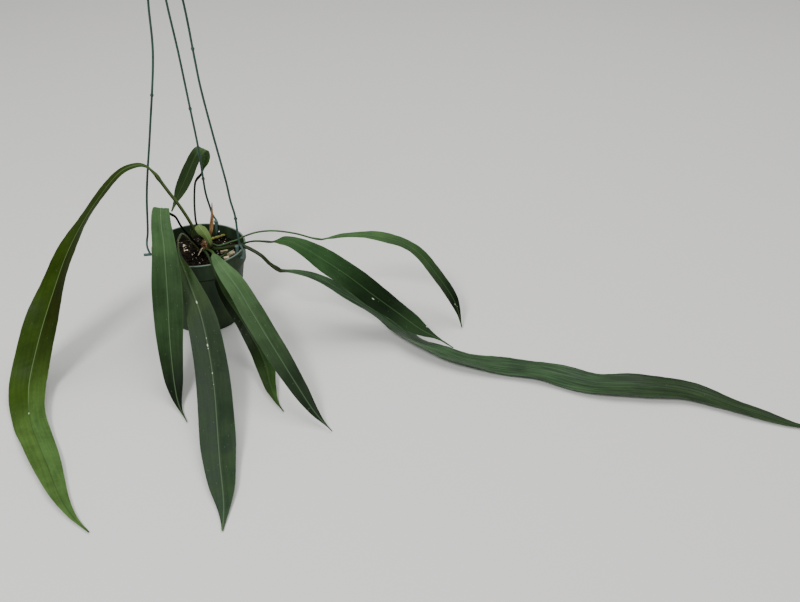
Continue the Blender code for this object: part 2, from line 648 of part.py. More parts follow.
def mix_surface(x, y):
    """Height of the potting mix, mounded at the crown and rough with its grain."""
    spread = (x - CROWN_X) ** 2 + (y - CROWN_Y) ** 2
    mound = MIX_MOUND * math.exp(-spread / MIX_MOUND_SPREAD)
    rough = noise.noise(Vector((x, y, 0.0)) * 0.19) + 0.6 * noise.noise(Vector((x, y, 9.0)) * 0.43)
    return MIX_LEVEL + mound + MIX_GRAIN * rough


def mix_chip(x, y, draw, chips):
    """A wedge of bark that stands a little out of the mix."""
    length = draw.uniform(*CHIP_LENGTH)
    chip = bmesh.new()
    bmesh.ops.create_cube(chip, size=1.0)
    for vertex in chip.verts:
        vertex.co.x *= length * (1.0 + 0.2 * vertex.co.z)
        vertex.co.y *= length * CHIP_NARROW
        vertex.co.z *= CHIP_HEIGHT
    mesh = bpy.data.meshes.new("chip")
    chip.to_mesh(mesh)
    chip.free()
    piece = bpy.data.objects.new("chip", mesh)
    piece.scale = (MM, MM, MM)
    piece.location = Vector((x, y, mix_surface(x, y))) * MM
    turn = draw.uniform(0.0, math.pi)
    piece.rotation_euler = (draw.uniform(-CHIP_TILT, CHIP_TILT), draw.uniform(-CHIP_TILT, CHIP_TILT), turn)
    chips.objects.link(piece)


def scatter_chips(edge, chips):
    """Chips all over the mix, clear of each other, the wall and the crown."""
    draw = random.Random(7)
    placed = []
    while len(placed) < CHIPS:
        angle = draw.uniform(0.0, 2.0 * math.pi)
        reach = draw.uniform(CHIP_FROM_CROWN, edge - CHIP_FROM_WALL)
        x = reach * math.cos(angle)
        y = reach * math.sin(angle)
        apart = all(math.hypot(x - a, y - b) > CHIP_SPACING for a, b in placed)
        if apart and math.hypot(x - CROWN_X, y - CROWN_Y) > CHIP_FROM_CROWN:
            placed.append((x, y))
            mix_chip(x, y, draw, chips)


def build_mix(collection, cutters):
    """The filling of the pot, with its rough top, raised chips and the crown's hole."""
    edge = RIM_RADIUS - LIP - WALL - GAP
    shoulder = edge - COLLAR_STEP
    collar_foot = POT_HEIGHT - COLLAR_HEIGHT
    low = FLOOR + FLOOR_CORNER
    profile = [(0.0, MIX_LEVEL)]
    profile += [(edge * k / MIX_RINGS, MIX_LEVEL) for k in range(1, MIX_RINGS + 1)]
    profile += [
        (edge, collar_foot + 2.0 * COLLAR_EASE + GAP),
        (shoulder, collar_foot + COLLAR_EASE + GAP),
        (pot_radius(low) - WALL - GAP, low + GAP),
        (BASE_RADIUS - WALL - FLOOR_CORNER - GAP, FLOOR + GAP),
        (0.0, FLOOR + GAP),
    ]
    mesh = baked(turned("mix_body", profile, POT_SIDES), weld=True)
    for vertex in mesh.vertices:
        if vertex.co.z > (MIX_LEVEL - GAP) * MM:
            vertex.co.z = mix_surface(vertex.co.x / MM, vertex.co.y / MM) * MM
    body = bpy.data.objects.new("mix_body", mesh)
    bpy.context.scene.collection.objects.link(body)
    chips = new_collection("chips")
    scatter_chips(edge, chips)
    boolean(body, "UNION", chips)
    hole_depth = MIX_LEVEL - CROWN_FOOT + 2.0 * CUTTER_REACH
    middle = (CROWN_X, CROWN_Y, CROWN_FOOT - GAP + hole_depth / 2)
    cylinder("crown_cutter", CROWN_RADIUS + 2 * GAP, hole_depth, middle, (0, 0, 1), cutters)
    boolean(body, "DIFFERENCE", cutters)
    result = baked(body)
    for piece in list(chips.objects):
        bpy.data.objects.remove(piece, do_unlink=True)
    bpy.data.collections.remove(chips)
    material = new_material("potting_mix", BROWN_MIX, 0.9)
    return add_object("potting_mix", result, material, collection, smooth=False)


def tube(name, points, radius, sides=2, radii=None):
    """A poly curve with filled caps, as a welded mesh."""
    curve = bpy.data.curves.new(name, "CURVE")
    curve.dimensions = "3D"
    curve.bevel_depth = radius * MM
    curve.bevel_resolution = sides
    curve.use_fill_caps = True
    spline = curve.splines.new("POLY")
    spline.points.add(len(points) - 1)
    for i, point in enumerate(points):
        spline.points[i].co = (*(Vector(point) * MM), 1.0)
        if radii:
            spline.points[i].radius = radii[i]
    shape = bpy.data.objects.new(name, curve)
    bpy.context.scene.collection.objects.link(shape)
    bpy.context.view_layer.update()
    return baked(shape, weld=True)


def join_all(name, meshes, collection, material):
    """One body out of several closed meshes that run into each other."""
    base = bpy.data.objects.new(name, meshes[0])
    bpy.context.scene.collection.objects.link(base)
    others = new_collection("joined")
    for mesh in meshes[1:]:
        others.objects.link(bpy.data.objects.new("joined_piece", mesh))
    boolean(base, "UNION", others)
    bpy.context.view_layer.update()
    result = baked(base)
    for piece in list(others.objects):
        bpy.data.objects.remove(piece, do_unlink=True)
    bpy.data.collections.remove(others)
    return add_object(name, result, material, collection)


def build_crown(collection):
    """The short stem, knobbly with old leaf bases, and a pale root that curls off it."""
    vertices = []
    for height in CROWN_HEIGHTS:
        blunt = CROWN_BLUNT if height == CROWN_TOP else 0.0
        for k in range(CROWN_SIDES):
            angle = 2.0 * math.pi * k / CROWN_SIDES
            knob = CROWN_KNOB * (math.sin(3.0 * angle + height * 0.8) - 1.0)
            reach = crown_radius(height) + knob - blunt
            vertices.append((CROWN_X + reach * math.cos(angle), CROWN_Y + reach * math.sin(angle),
                             height))
    faces = []
    last = (len(CROWN_HEIGHTS) - 1) * CROWN_SIDES
    for low in range(0, last, CROWN_SIDES):
        for k in range(CROWN_SIDES):
            after = (k + 1) % CROWN_SIDES
            faces.append((low + k, low + after, low + CROWN_SIDES + after, low + CROWN_SIDES + k))
    faces.append(tuple(reversed(range(CROWN_SIDES))))
    faces.append(tuple(range(last, last + CROWN_SIDES)))
    stem = mesh_from(vertices, faces)
    curl, _ = smooth_route(ROOT_CURL, 1.5)
    root = tube("root_curl", curl, ROOT_CURL_RADIUS, sides=1)
    material = new_material("crown_bark", BROWN_CROWN, 0.8)
    return join_all("crown", [stem, root], collection, material)


def build_cataphyll(collection):
    """Dried sheath leaf: a narrow trough that closes to a whisker."""
    form = leaf(
        "cataphyll", CATAPHYLL_SEAT, CATAPHYLL[:1], CATAPHYLL[1:], CATAPHYLL_WIDTHS,
        [(0, (0, -1, 0.1)), (1, (0, -1, 0.1))],
        petiole_radius=1.0, fold=((0, 35), (1, 35)), wave=(0, 30, 0), step=4.0,
    )
    return build_leaf(form, collection, new_material("dried_sheath", TAN_SHEATH, 0.75))


def build_root_stub(collection):
    """A knobbly root that leaves the crown over the mix and ends in a torn tip."""
    route, _ = smooth_route(crown_seat(*ROOT_STUB_SEAT) + ROOT_STUB, 1.8)
    radii = [1.0 + 0.28 * math.sin(1.7 * i) + 0.12 * math.sin(3.1 * i) for i in range(len(route))]
    mesh = tube("root_stub", route, ROOT_STUB_RADIUS, sides=1, radii=radii)
    return add_object("root_stub", mesh, new_material("root_skin", GREEN_ROOT, 0.7), collection)


def rod(name, start, end, radius, sides=2):
    """A straight round rod between two points."""
    return tube(name, [start, end], radius, sides=sides)


def hook_meshes(apex):
    """The open hook on its stem, and the knuckle where the strands meet."""
    rise = Vector((0, 0, 1))
    centre = apex + rise * (HOOK_STEM + HOOK_RADIUS)
    route = [apex - rise * KNUCKLE_BELOW / 2, apex]
    for i in range(HOOK_POINTS):
        angle = math.radians(-90.0 + HOOK_TURN * i / (HOOK_POINTS - 1))
        route.append(centre + Vector((math.cos(angle), 0, math.sin(angle))) * HOOK_RADIUS)
    knuckle = rod("knuckle", apex - rise * KNUCKLE_BELOW, apex + rise * KNUCKLE_ABOVE, KNUCKLE_RADIUS)
    return [tube("hook", route, HOOK_ROD), knuckle]


def strand_meshes(key, points, apex):
    """A strand with its moulded stops, the pin through the collar and the peg that holds it."""
    outward, centre = strand_hole(STRAND_AZIMUTHS[key])
    outside = centre + outward * (WALL / 2 + PIN_OUTSIDE)
    inside = centre - outward * (WALL / 2 + PIN_INSIDE)
    rise = Vector((0, 0, 1))
    route, _ = smooth_route([outside - rise * STRAND_RADIUS] + points + [apex], STRAND_STEP)
    pin = rod("pin", outside + outward * PIN_OVER, inside - outward * PIN_OVER, PIN_RADIUS, 1)
    meshes = [tube("strand_" + key, route, STRAND_RADIUS, sides=1), pin]
    for share in STRAND_STOPS[key]:
        i = round(share * (len(route) - 1))
        along = (route[i + 1] - route[i]).normalized() * STOP_HALF
        meshes.append(rod("stop", route[i] - along, route[i] + along, STOP_RADIUS, 1))
    if key == "left":
        far = outside + outward * PEG_SIDEWAYS
        meshes.append(rod("peg", outside - outward, far, PEG_RADIUS))
        meshes.append(rod("stay", inside - rise * STAY_HALF, inside + rise * STAY_HALF, STAY_RADIUS))
    else:
        top = inside + rise * PEG_RISE
        meshes.append(rod("peg", inside - rise * PEG_DROP, top, PEG_RADIUS))
        meshes.append(rod("cap", top - rise * CAP_BELOW, top + rise * CAP_ABOVE, CAP_RADIUS))
    return meshes


def build_hanger(collection):
    """Three thin strands, pegged through the collar, that run up into one hook."""
    apex = Vector(APEX)
    meshes = hook_meshes(apex)
    for key, points in STRANDS.items():
        meshes += strand_meshes(key, [Vector(p) for p in points], apex)
    material = new_material("hanger_plastic", GREEN_HANGER, 0.35)
    return join_all("hanger", meshes, collection, material)


def main():
    """Build every sub-part in its collection."""
    clear_scene()
    parts = new_collection(COLLECTION)
    pot_cutters = new_collection("pot_cutters")
    mix_cutters = new_collection("mix_cutters")
    build_pot(parts, pot_cutters)
    build_mix(parts, mix_cutters)
    build_crown(parts)
    build_cataphyll(parts)
    build_root_stub(parts)
    skins = {name: new_material(name, colour, 0.38) for name, colour in LEAF_SKINS.items()}
    for form in LEAVES:
        build_leaf(form, parts, skins[form["skin"]])
    build_hanger(parts)
    hide_cutters(pot_cutters)
    hide_cutters(mix_cutters)


main()
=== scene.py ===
"""Strap-leaved anthurium in its hanging nursery pot: the finished pieces and their stage.

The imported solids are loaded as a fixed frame. Each piece here is built where
its solid stands: leaves, crown, dried sheath, root, potting mix, pot and
hanger. Routes and sizes are millimetres, and MM turns them into metres when a
mesh is made.
"""

import math
import random

import bpy
import numpy as np
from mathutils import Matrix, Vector, noise


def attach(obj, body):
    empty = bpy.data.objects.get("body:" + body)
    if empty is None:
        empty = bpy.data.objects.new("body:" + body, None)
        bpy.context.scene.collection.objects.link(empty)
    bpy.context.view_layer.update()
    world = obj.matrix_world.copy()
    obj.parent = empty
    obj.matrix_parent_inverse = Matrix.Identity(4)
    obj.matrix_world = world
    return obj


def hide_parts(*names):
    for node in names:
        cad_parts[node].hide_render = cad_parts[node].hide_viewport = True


bl_info = {
    "name": "Strap-leaved anthurium",
    "version": (1, 0, 0),
    "blender": (4, 5, 0),
    "location": "3D View > Sidebar > Anthurium",
    "description": "Builds a strap-leaved anthurium in a hanging nursery pot, piece by piece",
    "category": "Object",
}

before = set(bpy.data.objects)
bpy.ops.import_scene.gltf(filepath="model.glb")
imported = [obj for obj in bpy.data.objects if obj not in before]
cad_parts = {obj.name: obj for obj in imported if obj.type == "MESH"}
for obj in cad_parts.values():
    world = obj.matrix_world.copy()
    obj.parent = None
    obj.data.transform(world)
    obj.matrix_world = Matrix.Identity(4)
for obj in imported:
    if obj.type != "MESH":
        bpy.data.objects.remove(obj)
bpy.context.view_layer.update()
MM = 0.001
BODY = "root"

# Pot, as the solids have it, with GAP between its wall and the mix
RIM_RADIUS = 55.0
POT_HEIGHT = 98.0
BASE_RADIUS = 41.0
WALL = 1.4
FLOOR = 2.0
COLLAR_HEIGHT = 20.0
COLLAR_FOOT = POT_HEIGHT - COLLAR_HEIGHT
COLLAR_STEP = 2.2
LIP = 0.8
COLLAR_RADIUS = RIM_RADIUS - LIP
SHOULDER_RADIUS = COLLAR_RADIUS - COLLAR_STEP
DRAIN_HOLES = 6
DRAIN_RADIUS = 4.0
DRAIN_CIRCLE = 29.0
STRAND_HOLE_RADIUS = 2.5
STRAND_HOLE_DROP = 8.5
STRAND_AZIMUTHS = {"back": 75.0, "left": 190.0, "front": 341.0}
GAP = 0.3

# Potting mix
MIX_LEVEL = 83.0
MIX_MOUND = 3.0
MIX_MOUND_SPREAD = 500.0
MIX_GRAIN = 1.2
# Layers of noise: the slice through it, its waves per millimetre and its weight
MIX_LAYERS = ((0.0, 0.19, 1.0), (9.0, 0.43, 0.6))
CRUMB_LAYERS = ((3.0, 0.9, 0.7), (5.0, 2.1, 0.35))
CRUMB_DROP = 0.3
CROWN_CLEARANCE = 1.5
MIX_SIDES = 180
MIX_RINGS = 52
CHIP_TILT = (0.15, -0.1)
CHIP_BEVEL = 0.16

# Crown with the leaves' seats just off its side, its fibres, and the roots
CROWN_PLACE = (7.0, 7.0)
CROWN_RADIUS = 7.5
CROWN_FOOT = 62.0
CROWN_TOP = 99.0
CROWN_SHOULDER = 90.0
CROWN_TAPER = 0.35
SEAT = 0.35
SEAT_LEAD = 2.5
SEAT_DROP = 1.4
STEM_SIDES = 56
STEM_FIBRES = 46
FIBRE_LOWEST = 86.5
ROOT_CURL_RADIUS = 0.8
ROOT_STUB_RADIUS = 1.5
ROOTLET_STEP = 2.4
ROOTLET_SAG = 0.3

# Hanger: the point where its strands meet, the hook above it, and the pegs
APEX = (-9.0, -5.0, 500.0)
HOOK_RADIUS = 16.0
HOOK_ROD = 2.0
HOOK_STEM = 12.0
HOOK_TURN = 255.0
HOOK_STEPS = 17
ROD_SIDES = 20
ROD_CHAMFER = 0.3
PEG_RADIUS = 1.75
PEG_OUT = 2.4
PEG_IN = 2.2

# Leaf section: places of its points across the blade, as shares of its half-width, close
# together at the margins and the midrib. NECK is the length over which the stalk opens
LATERAL = np.array((-1.0, -0.975, -0.92, -0.83, -0.72, -0.6, -0.48, -0.36, -0.25, -0.16, -0.08,
                    0.0, 0.08, 0.16, 0.25, 0.36, 0.48, 0.6, 0.72, 0.83, 0.92, 0.975, 1.0))
NECK = 15.0
TABLE_EASE = 0.02
FACING_BLUR = 4.0

# Leaf relief: the lag of one margin's waves behind the other's, in turns, ripples,
# pleats, quilting and side veins; the midrib, finer where the blade's half-width is
# under NARROW_HALF, with a furrow beside it and a keel below; and the stalk's joint,
# foot and groove
FAR_LAG = 0.37
RIPPLE_LENGTH = 19.0
SHORT_RIPPLE_LENGTH = 11.3
RIPPLE_SHARE = 0.7
PLEAT_LENGTH = 5.2
QUILT_HEIGHT = 0.07
QUILT_LENGTH = 8.0
VEIN_SLANT = 0.75
VEIN_GAP = 7.5
NARROW_HALF = 6.0
RIB_WIDTH = 0.8
FURROW_DEPTH = 0.12
FURROW_PLACE = 2.2
FURROW_WIDTH = 1.1
KEEL_HEIGHT = 0.9
KEEL_TAPER = 0.8
KEEL_WIDTH = 1.1
JOINT_SPREAD = 5.0
FOOT_FLARE = 0.35
FOOT_SPREAD = 5.0
STALK_GROOVE = 0.2

# Patterns in the leaf cuticle and in the plastic
MOTTLE_SIZE = 22.0
LEAF_GRAIN = 1.3
DRIFT_SIZE = 30.0
VEIN_DRIFT = 9.0
DUST_GAP = 5.5
FLOW_SIZE = 14.0
SPLASH_SIZE = 3.5
MOULD_GRAIN = 0.8

# Camera, in metres and degrees below level
CAMERA_PLACE = (0.238, -1.047, 0.651)
CAMERA_DOWN = 31.1

# Samples between two points of a route, the distance in metres at which vertices are
# merged, and the largest random turn in radians
ROUTE_SAMPLES = 24
MERGE_DISTANCE = 0.000002
ANY_TURN = 6.28


def leaf(name, slot, seat, petiole, blade, widths, facing, look, **extra):
    """One leaf's description, with the values that most leaves share."""
    return {
        "name": name,
        "slot": slot,
        "seat": seat,
        "petiole": petiole,
        "blade": blade,
        "widths": widths,
        "facing": facing,
        "look": look,
        "petiole_radius": 1.5,
        "fold": ((0, 6), (1, 6)),
        "wave": (1.0, 60.0, 0.0),
        "rib": ((0.0, 0.55), (1.0, 0.15)),
        "pleat": 0.05,
        "streak": 0.12,
        "marks": (),
        "tones": ((0.0, 1.0), (1.0, 1.0)),
        "far_tones": None,
        "rib_tones": ((0.0, 1.0), (1.0, 1.0)),
        **extra,
    }


def look(top, deep, under, rib, stalk, gloss, sheen=0.44):
    """A leaf's colours, its highlight's strength (gloss) and its roughness (sheen).

    The colours are of the upper side, its darker patches, the underside, the
    midrib and the petiole.
    """
    return {"top": top, "deep": deep, "under": under, "rib": rib, "stalk": stalk, "gloss": gloss,
            "sheen": sheen}


# Routes, and tables of half-width, facing and fold by the fraction of the blade, the
# same as the solids have. Marks are places of small pale scars: fraction of the
# blade, millimetres off the midrib, and radius. tones says how light
# the green is along the blade: partly its own colour, partly painted light and shade,
# darker where the blade faces away from the light or lies in other leaves' shadow and
# lighter where it faces the light. far_tones is the same for its other
# half, darkened as painted shade where that half is turned from the light or shadowed,
# and rib_tones for the midrib, darkened as painted shade where it
# runs in a groove; each is one number or shares of red, green and blue.
# streak is how strongly painted shade and highlight along fine
# wrinkles darken and lighten the blade lengthways.
LEAVES = (
    leaf(
        "leaf_left_arch", "leaf_skin_bright", (183.0, 91.0),
        [(-5.8, 5.8, 92.6), (-7.9, 4.6, 98), (-8, 3, 105), (-6.9, 1.5, 113), (-5, 0, 122),
         (-13, -11, 151), (-23, -22, 178), (-31.3, -31.1, 201.2)],
        [(-38.2, -37.5, 212.6), (-48.3, -43.3, 216.8), (-65, -50.6, 211), (-85.7, -60.5, 189.2),
         (-108, -75.3, 159.5), (-125.1, -91, 130), (-139.8, -110.2, 94.7), (-153.3, -129, 59.1),
         (-164, -154, 21), (-161.1, -179, 9), (-147.4, -219.1, 5), (-130.2, -251.1, 4.5),
         (-105.6, -294.5, 4.5), (-84.2, -332.1, 4), (-64.4, -358.7, 3), (-44.8, -377.5, 1.8)],
        [(0, 1.8), (0.21, 14.2), (0.29, 17.5), (0.38, 20), (0.46, 21), (0.54, 21.3),
         (0.59, 20.8), (0.63, 18.3), (0.71, 16), (0.75, 15.5), (0.79, 14.3), (0.87, 9.7),
         (0.96, 2.4), (1, 0.4)],
        [(0, (0.6, -0.1, 0.8)), (0.04, (0.4, -0.09, 0.91)), (0.09, (-0.49, -0.29, 0.82)),
         (0.13, (-0.64, -0.32, 0.7)), (0.21, (-0.69, -0.34, 0.64)), (0.29, (-0.6, -0.54, 0.59)),
         (0.38, (-0.38, -0.76, 0.53)), (0.42, (-0.22, -0.83, 0.51)), (0.5, (-0.03, -0.83, 0.56)),
         (0.54, (-0.02, -0.64, 0.76)), (0.59, (-0.23, -0.25, 0.94)),
         (0.63, (-0.22, -0.15, 0.96)), (0.71, (-0.03, -0.01, 1)), (0.75, (0, 0, 1)),
         (1, (0, 0, 1))],
        look("#4f7138", "#42602d", "#3f5f2a", "#86a06a", "#5b703c", 0.07), petiole_radius=2.1,
        tones=((0.0, 0.5), (0.1, (0.3, 0.26, 0.12)), (0.38, (0.22, 0.16, 0.045)),
               (0.45, (0.33, 0.29, 0.13)), (0.52, (0.6, 0.55, 0.32)), (0.6, (0.85, 0.82, 0.65)),
               (0.68, 1.0)),
        # The far half is darkened as painted shade where the fold turns it from the light
        far_tones=((0.0, 0.7), (0.1, (0.36, 0.31, 0.16)), (0.3, (0.36, 0.35, 0.12)),
                   (0.58, (0.48, 0.49, 0.18)), (0.66, (1.0, 0.95, 0.75)), (1.0, 1.0)),
        # The midrib is darkened as painted shade from 0.64 of the blade on, where it runs in a
        # groove
        rib_tones=((0.0, 0.6), (0.2, 1.0), (0.56, 1.0), (0.64, 0.12), (1.0, 0.12)),
        fold=((0, 8), (0.2, 9), (0.33, 14), (0.42, 18), (0.5, 14), (0.6, 8), (1, 6)),
        wave=(1, 85, 0.1), rib=((0.0, 0.6), (0.5, 0.75), (0.62, 0.1), (0.68, -0.5), (1.0, -0.3)),
        marks=((0.63, 0.3, 0.9),),
    ),
    leaf(
        "leaf_front_left", "leaf_skin", (208.0, 94.0),
        [(-5.5, -12, 113), (-11, -28, 135.5), (-13.5, -38, 152), (-17, -47, 161)],
        [(-20.9, -56.8, 170.7), (-21.7, -66, 175), (-20.4, -78, 161), (-17.4, -90, 142.1),
         (-13.6, -118, 96.1), (-12, -136, 63), (-9.4, -152, 39), (-5.1, -170, 17.1),
         (1.8, -190.1, 5), (15, -216, 1.8)],
        [(0, 2.1), (0.02, 3.5), (0.05, 6.8), (0.1, 9.5), (0.39, 16.2), (0.48, 16.4),
         (0.57, 15.2), (0.7, 12.4), (0.79, 9.9), (0.91, 2.1), (0.96, 0.8), (1, 0.4)],
        [(0, (0.1, 0.4, 1)), (0.12, (0, -0.2, 1)), (0.28, (0.15, -0.8, 0.6)),
         (0.8, (0.15, -0.75, 0.6)), (1, (0.2, -0.4, 0.9))],
        look("#4b6c41", "#3f5d38", "#3d5a38", "#6f8a62", "#1e2a18", 0.05), petiole_radius=1.3,
        tones=((0.0, 1.0), (0.2, 0.9), (0.35, 0.5), (0.6, 0.45), (0.8, 0.1), (1.0, 0.07)),
        fold=((0, 5), (1, 5)), wave=(0.8, 70, 0.4),
    ),
    leaf(
        "leaf_front_centre", "leaf_skin", (226.0, 89.5),
        [(-3, -8, 100), (-4, -20, 111.5), (-6.5, -29, 123.5), (-9.5, -38, 131), (-12, -48, 128)],
        [(-9.6, -60, 115), (2.4, -82.1, 94.8), (15.8, -107.2, 76.7), (25.2, -131, 61.5),
         (36.3, -168, 45.5), (45.8, -208, 31.6), (53.8, -250, 18.5), (61.5, -289.9, 9),
         (70.3, -329.8, 4), (74.4, -354.8, 2.4), (76.4, -375.5, 1.6)],
        [(0, 1.2), (0.045, 1.4), (0.07, 4.5), (0.11, 8.5), (0.24, 15.1), (0.28, 16.6),
         (0.37, 17.6), (0.62, 18.7), (0.7, 18.5), (0.83, 14), (0.87, 11.6), (0.91, 7.4),
         (0.96, 3.1), (1, 0.4)],
        [(0, (0.1, -0.75, 0.65)), (0.2, (0, -0.5, 0.8)), (0.6, (-0.08, -0.3, 0.95)),
         (1, (0, 0, 1))],
        look("#3f5c35", "#324e31", "#3a5538", "#66805c", "#6a7052", 0.22), petiole_radius=1.0,
        tones=((0.0, (1.0, 1.0, 0.7)), (0.12, (0.85, 0.85, 0.5)), (0.2, (0.5, 0.5, 0.3)),
               (0.35, 0.33), (0.6, 0.38), (1.0, 0.6)),
        fold=((0, 8), (1, 8)), wave=(0.8, 90, 0.7),
        marks=((0.21, 0.0, 1.2), (0.335, 0.0, 0.9), (0.36, 0.2, 1.2), (0.372, 0.1, 0.9),
               (0.46, 0.0, 0.7), (0.5, 0.2, 0.6)),
    ),
    leaf(
        "leaf_front_right", "leaf_skin", (-72.0, 92.0),
        [(15, -13, 96.5), (21, -26, 101)],
        [(28.1, -46.5, 103.6), (38.5, -66.5, 102.6), (58.3, -92.1, 91.9), (75.6, -118.3, 78.5),
         (92.7, -143.4, 64.8), (109.8, -167.2, 50.7), (132.2, -196.3, 30.5), (149.5, -214.5, 13),
         (167.8, -232, 2.2)],
        [(0, 1.2), (0.02, 2), (0.04, 3.7), (0.22, 10.8), (0.43, 12.8), (0.57, 12.1),
         (0.61, 12.3), (0.69, 11.2), (0.78, 9.3), (0.82, 8.3), (0.91, 4), (0.96, 0.9), (1, 0.4)],
        [(0, (0, -0.2, 1)), (0.25, (-0.1, -0.5, 0.85)), (1, (-0.1, -0.55, 0.8))],
        look("#58774d", "#4b6842", "#3d5a38", "#5f7d59", "#46602f", 0.06), petiole_radius=1.5,
        tones=((0.0, 1.0), (0.2, 1.0), (0.4, 0.5), (0.6, 0.42), (0.75, 0.17), (1.0, 0.12)),
        fold=((0, 8), (1, 8)), wave=(0.8, 70.0, 0.2),
    ),
    leaf(
        "leaf_front_low", "leaf_skin", (-100.0, 90.0),
        [(11, -18, 97), (18, -36, 100), (23.5, -50, 100.2), (27.5, -59, 97)],
        [(31.5, -66, 86), (38, -70, 71), (50.1, -77, 53), (66.1, -90, 32.1), (79.1, -108, 19.1),
         (88.6, -130.3, 11), (95.8, -157.4, 6), (104.9, -181.8, 3.5), (114.1, -197.9, 2)],
        [(0, 0.9), (0.08, 4.2), (0.2, 7), (0.34, 8), (0.47, 10.3), (0.6, 10.9), (0.69, 9.5),
         (0.78, 6.6), (0.82, 5.9), (0.86, 3.7), (0.95, 1.1), (1, 0.5)],
        [(0, (0.2, -0.85, 0.45)), (0.5, (-0.1, -0.8, 0.6)), (0.8, (0, -0.2, 1)), (1, (0, 0, 1))],
        look("#42622a", "#365223", "#33482a", "#3c5230", "#33482a", 0.1), petiole_radius=1.3,
        tones=((0.0, (0.42, 0.42, 0.5)), (0.5, (0.38, 0.38, 0.6)), (0.8, 0.9), (1.0, 0.9)),
        # The far half is darkened as painted shade where it lies in the next leaf's shadow
        far_tones=((0.0, 0.08), (0.25, 0.09), (0.5, 0.2), (0.8, 0.62), (1.0, 0.6)),
        wave=(0.6, 60.0, 0.5),
    ),
    leaf(
        "leaf_right_wide", "leaf_skin", (-52.0, 88.3),
        [(23.5, -13.6, 88.3), (28.8, -12.2, 88.6), (34, -8, 90.9), (39.5, -5, 94.1),
         (47.1, -3, 97.3), (55.9, -6, 102.7), (64.7, -12, 108), (75, -19, 112), (89, -24, 113.5)],
        [(107, -27.2, 116.2), (124.8, -30.2, 110.2), (151.4, -34.5, 94.1), (178.3, -40.3, 76.9),
         (205.6, -46.9, 56.6), (233.8, -55.2, 37.7), (261.8, -68.2, 22.2), (283.1, -78.9, 15.6),
         (299.2, -92.6, 12.5)],
        [(0, 3.3), (0.02, 5.4), (0.05, 7.7), (0.09, 8.7), (0.13, 11.4), (0.26, 14.9),
         (0.3, 15.7), (0.56, 15.9), (0.61, 15.5), (0.69, 12.7), (0.78, 11.7), (0.83, 8.4),
         (0.91, 1.3), (1, 0.5)],
        [(0, (0, -0.1, 1)), (0.15, (0.2, -0.35, 0.9)), (0.35, (0.3, -0.6, 0.75)),
         (1, (0.2, -0.5, 0.85))],
        look("#3b5f33", "#31512b", "#33502e", "#4d6e42", "#3a552c", 0.08), petiole_radius=1.2,
        tones=((0.0, 1.0), (0.25, 0.8), (0.42, 0.4), (0.52, 0.18), (0.63, 0.16), (0.76, 0.4),
               (1.0, 0.42)),
        wave=(0.9, 62, 0.3), marks=((0.555, 4.2, 1.1), (0.835, -7.0, 1.3)),
    ),
    leaf(
        "leaf_right_thin", "leaf_skin", (-6.0, 94.5),
        [(22.5, 1.5, 95), (29.8, 1.5, 97), (38, 3, 99.6), (46, 4, 101.8), (54, 6, 105.5),
         (70, 8, 110), (90, 10, 110.5), (113.5, 11, 106.5), (133, 12, 100), (144.5, 12, 98)],
        [(158, 12.1, 100.6), (173, 10.7, 104), (200.9, 8.4, 105.1), (224.8, 5.7, 101.9),
         (244.6, 2.5, 95.9), (262.5, -2.2, 83.9), (280.5, -8.2, 62.7), (299.9, -15.5, 35.4),
         (307.9, -21.9, 18.1), (312.4, -33.5, 2.4)],
        [(0, 1.4), (0.04, 2.4), (0.17, 7.5), (0.3, 10.6), (0.39, 11.5), (0.65, 11.5),
         (0.69, 11.3), (0.77, 9.6), (0.86, 6.3), (0.95, 1.7), (1, 0.5)],
        [(0, (-0.18, -0.12, 0.98)), (0.04, (-0.18, -0.12, 0.98)), (0.08, (-0.32, -0.02, 0.95)),
         (0.13, (-0.15, 0.04, 0.99)), (0.39, (0.28, -0.07, 0.96)), (0.6, (0.67, -0.2, 0.71)),
         (0.69, (0.68, -0.37, 0.63)), (0.77, (0.68, -0.44, 0.59)), (0.86, (0.55, -0.66, 0.51)),
         (0.91, (0.54, -0.7, 0.47)), (0.95, (0.58, -0.63, 0.52)), (1, (0.21, -0.83, 0.51))],
        look("#4f743d", "#426338", "#3b5733", "#56794a", "#4a6a40", 0.14), petiole_radius=1.15,
        tones=((0.0, 1.0), (0.25, 0.85), (0.45, 0.62), (0.6, 0.46), (0.85, 0.1), (1.0, 0.07)),
        fold=((0, 5), (1, 5)), wave=(0.6, 60.0, 0.1),
        marks=((0.87, 1.0, 0.7), (0.885, -1.0, 0.6)),
    ),
    leaf(
        "leaf_right_long", "leaf_skin", (-30.0, 91.5),
        [(20.3, -2, 92.5), (29.2, -5, 95), (44.3, -9, 99.9), (56.1, -12, 101.3), (75, -20, 94.5),
         (86, -23, 84), (98, -25, 76)],
        [(114, -26.1, 75.4), (132, -26.1, 70.9), (150.9, -27.1, 61.9), (172.9, -29.1, 47.4),
         (207.3, -34.6, 26), (232.6, -45.1, 10.6), (256.4, -74, 9.5), (282.4, -92.1, 8.5),
         (309.2, -105.8, 6.5), (339.9, -115.5, 5), (394.9, -128.7, 5), (450.1, -153.8, 6),
         (499.1, -161.6, 9), (551.1, -168.5, 6.5), (605.4, -198.3, 4), (642.5, -218.8, 3),
         (665.6, -226.6, 2)],
        [(0, 1.5), (0.02, 2.5), (0.09, 9), (0.13, 11.5), (0.22, 14.5), (0.3, 16.2), (0.42, 17.7),
         (0.63, 18.5), (0.75, 18.2), (0.79, 16.5), (0.87, 11.5), (0.91, 9.8), (0.96, 5),
         (1, 1.8)],
        [(0, (0.04, -0.32, 0.95)), (0.02, (0.04, -0.32, 0.95)), (0.05, (0.3, -0.28, 0.91)),
         (0.09, (0.49, -0.14, 0.86)), (0.13, (0.53, 0, 0.85)), (0.22, (0.45, 0.03, 0.89)),
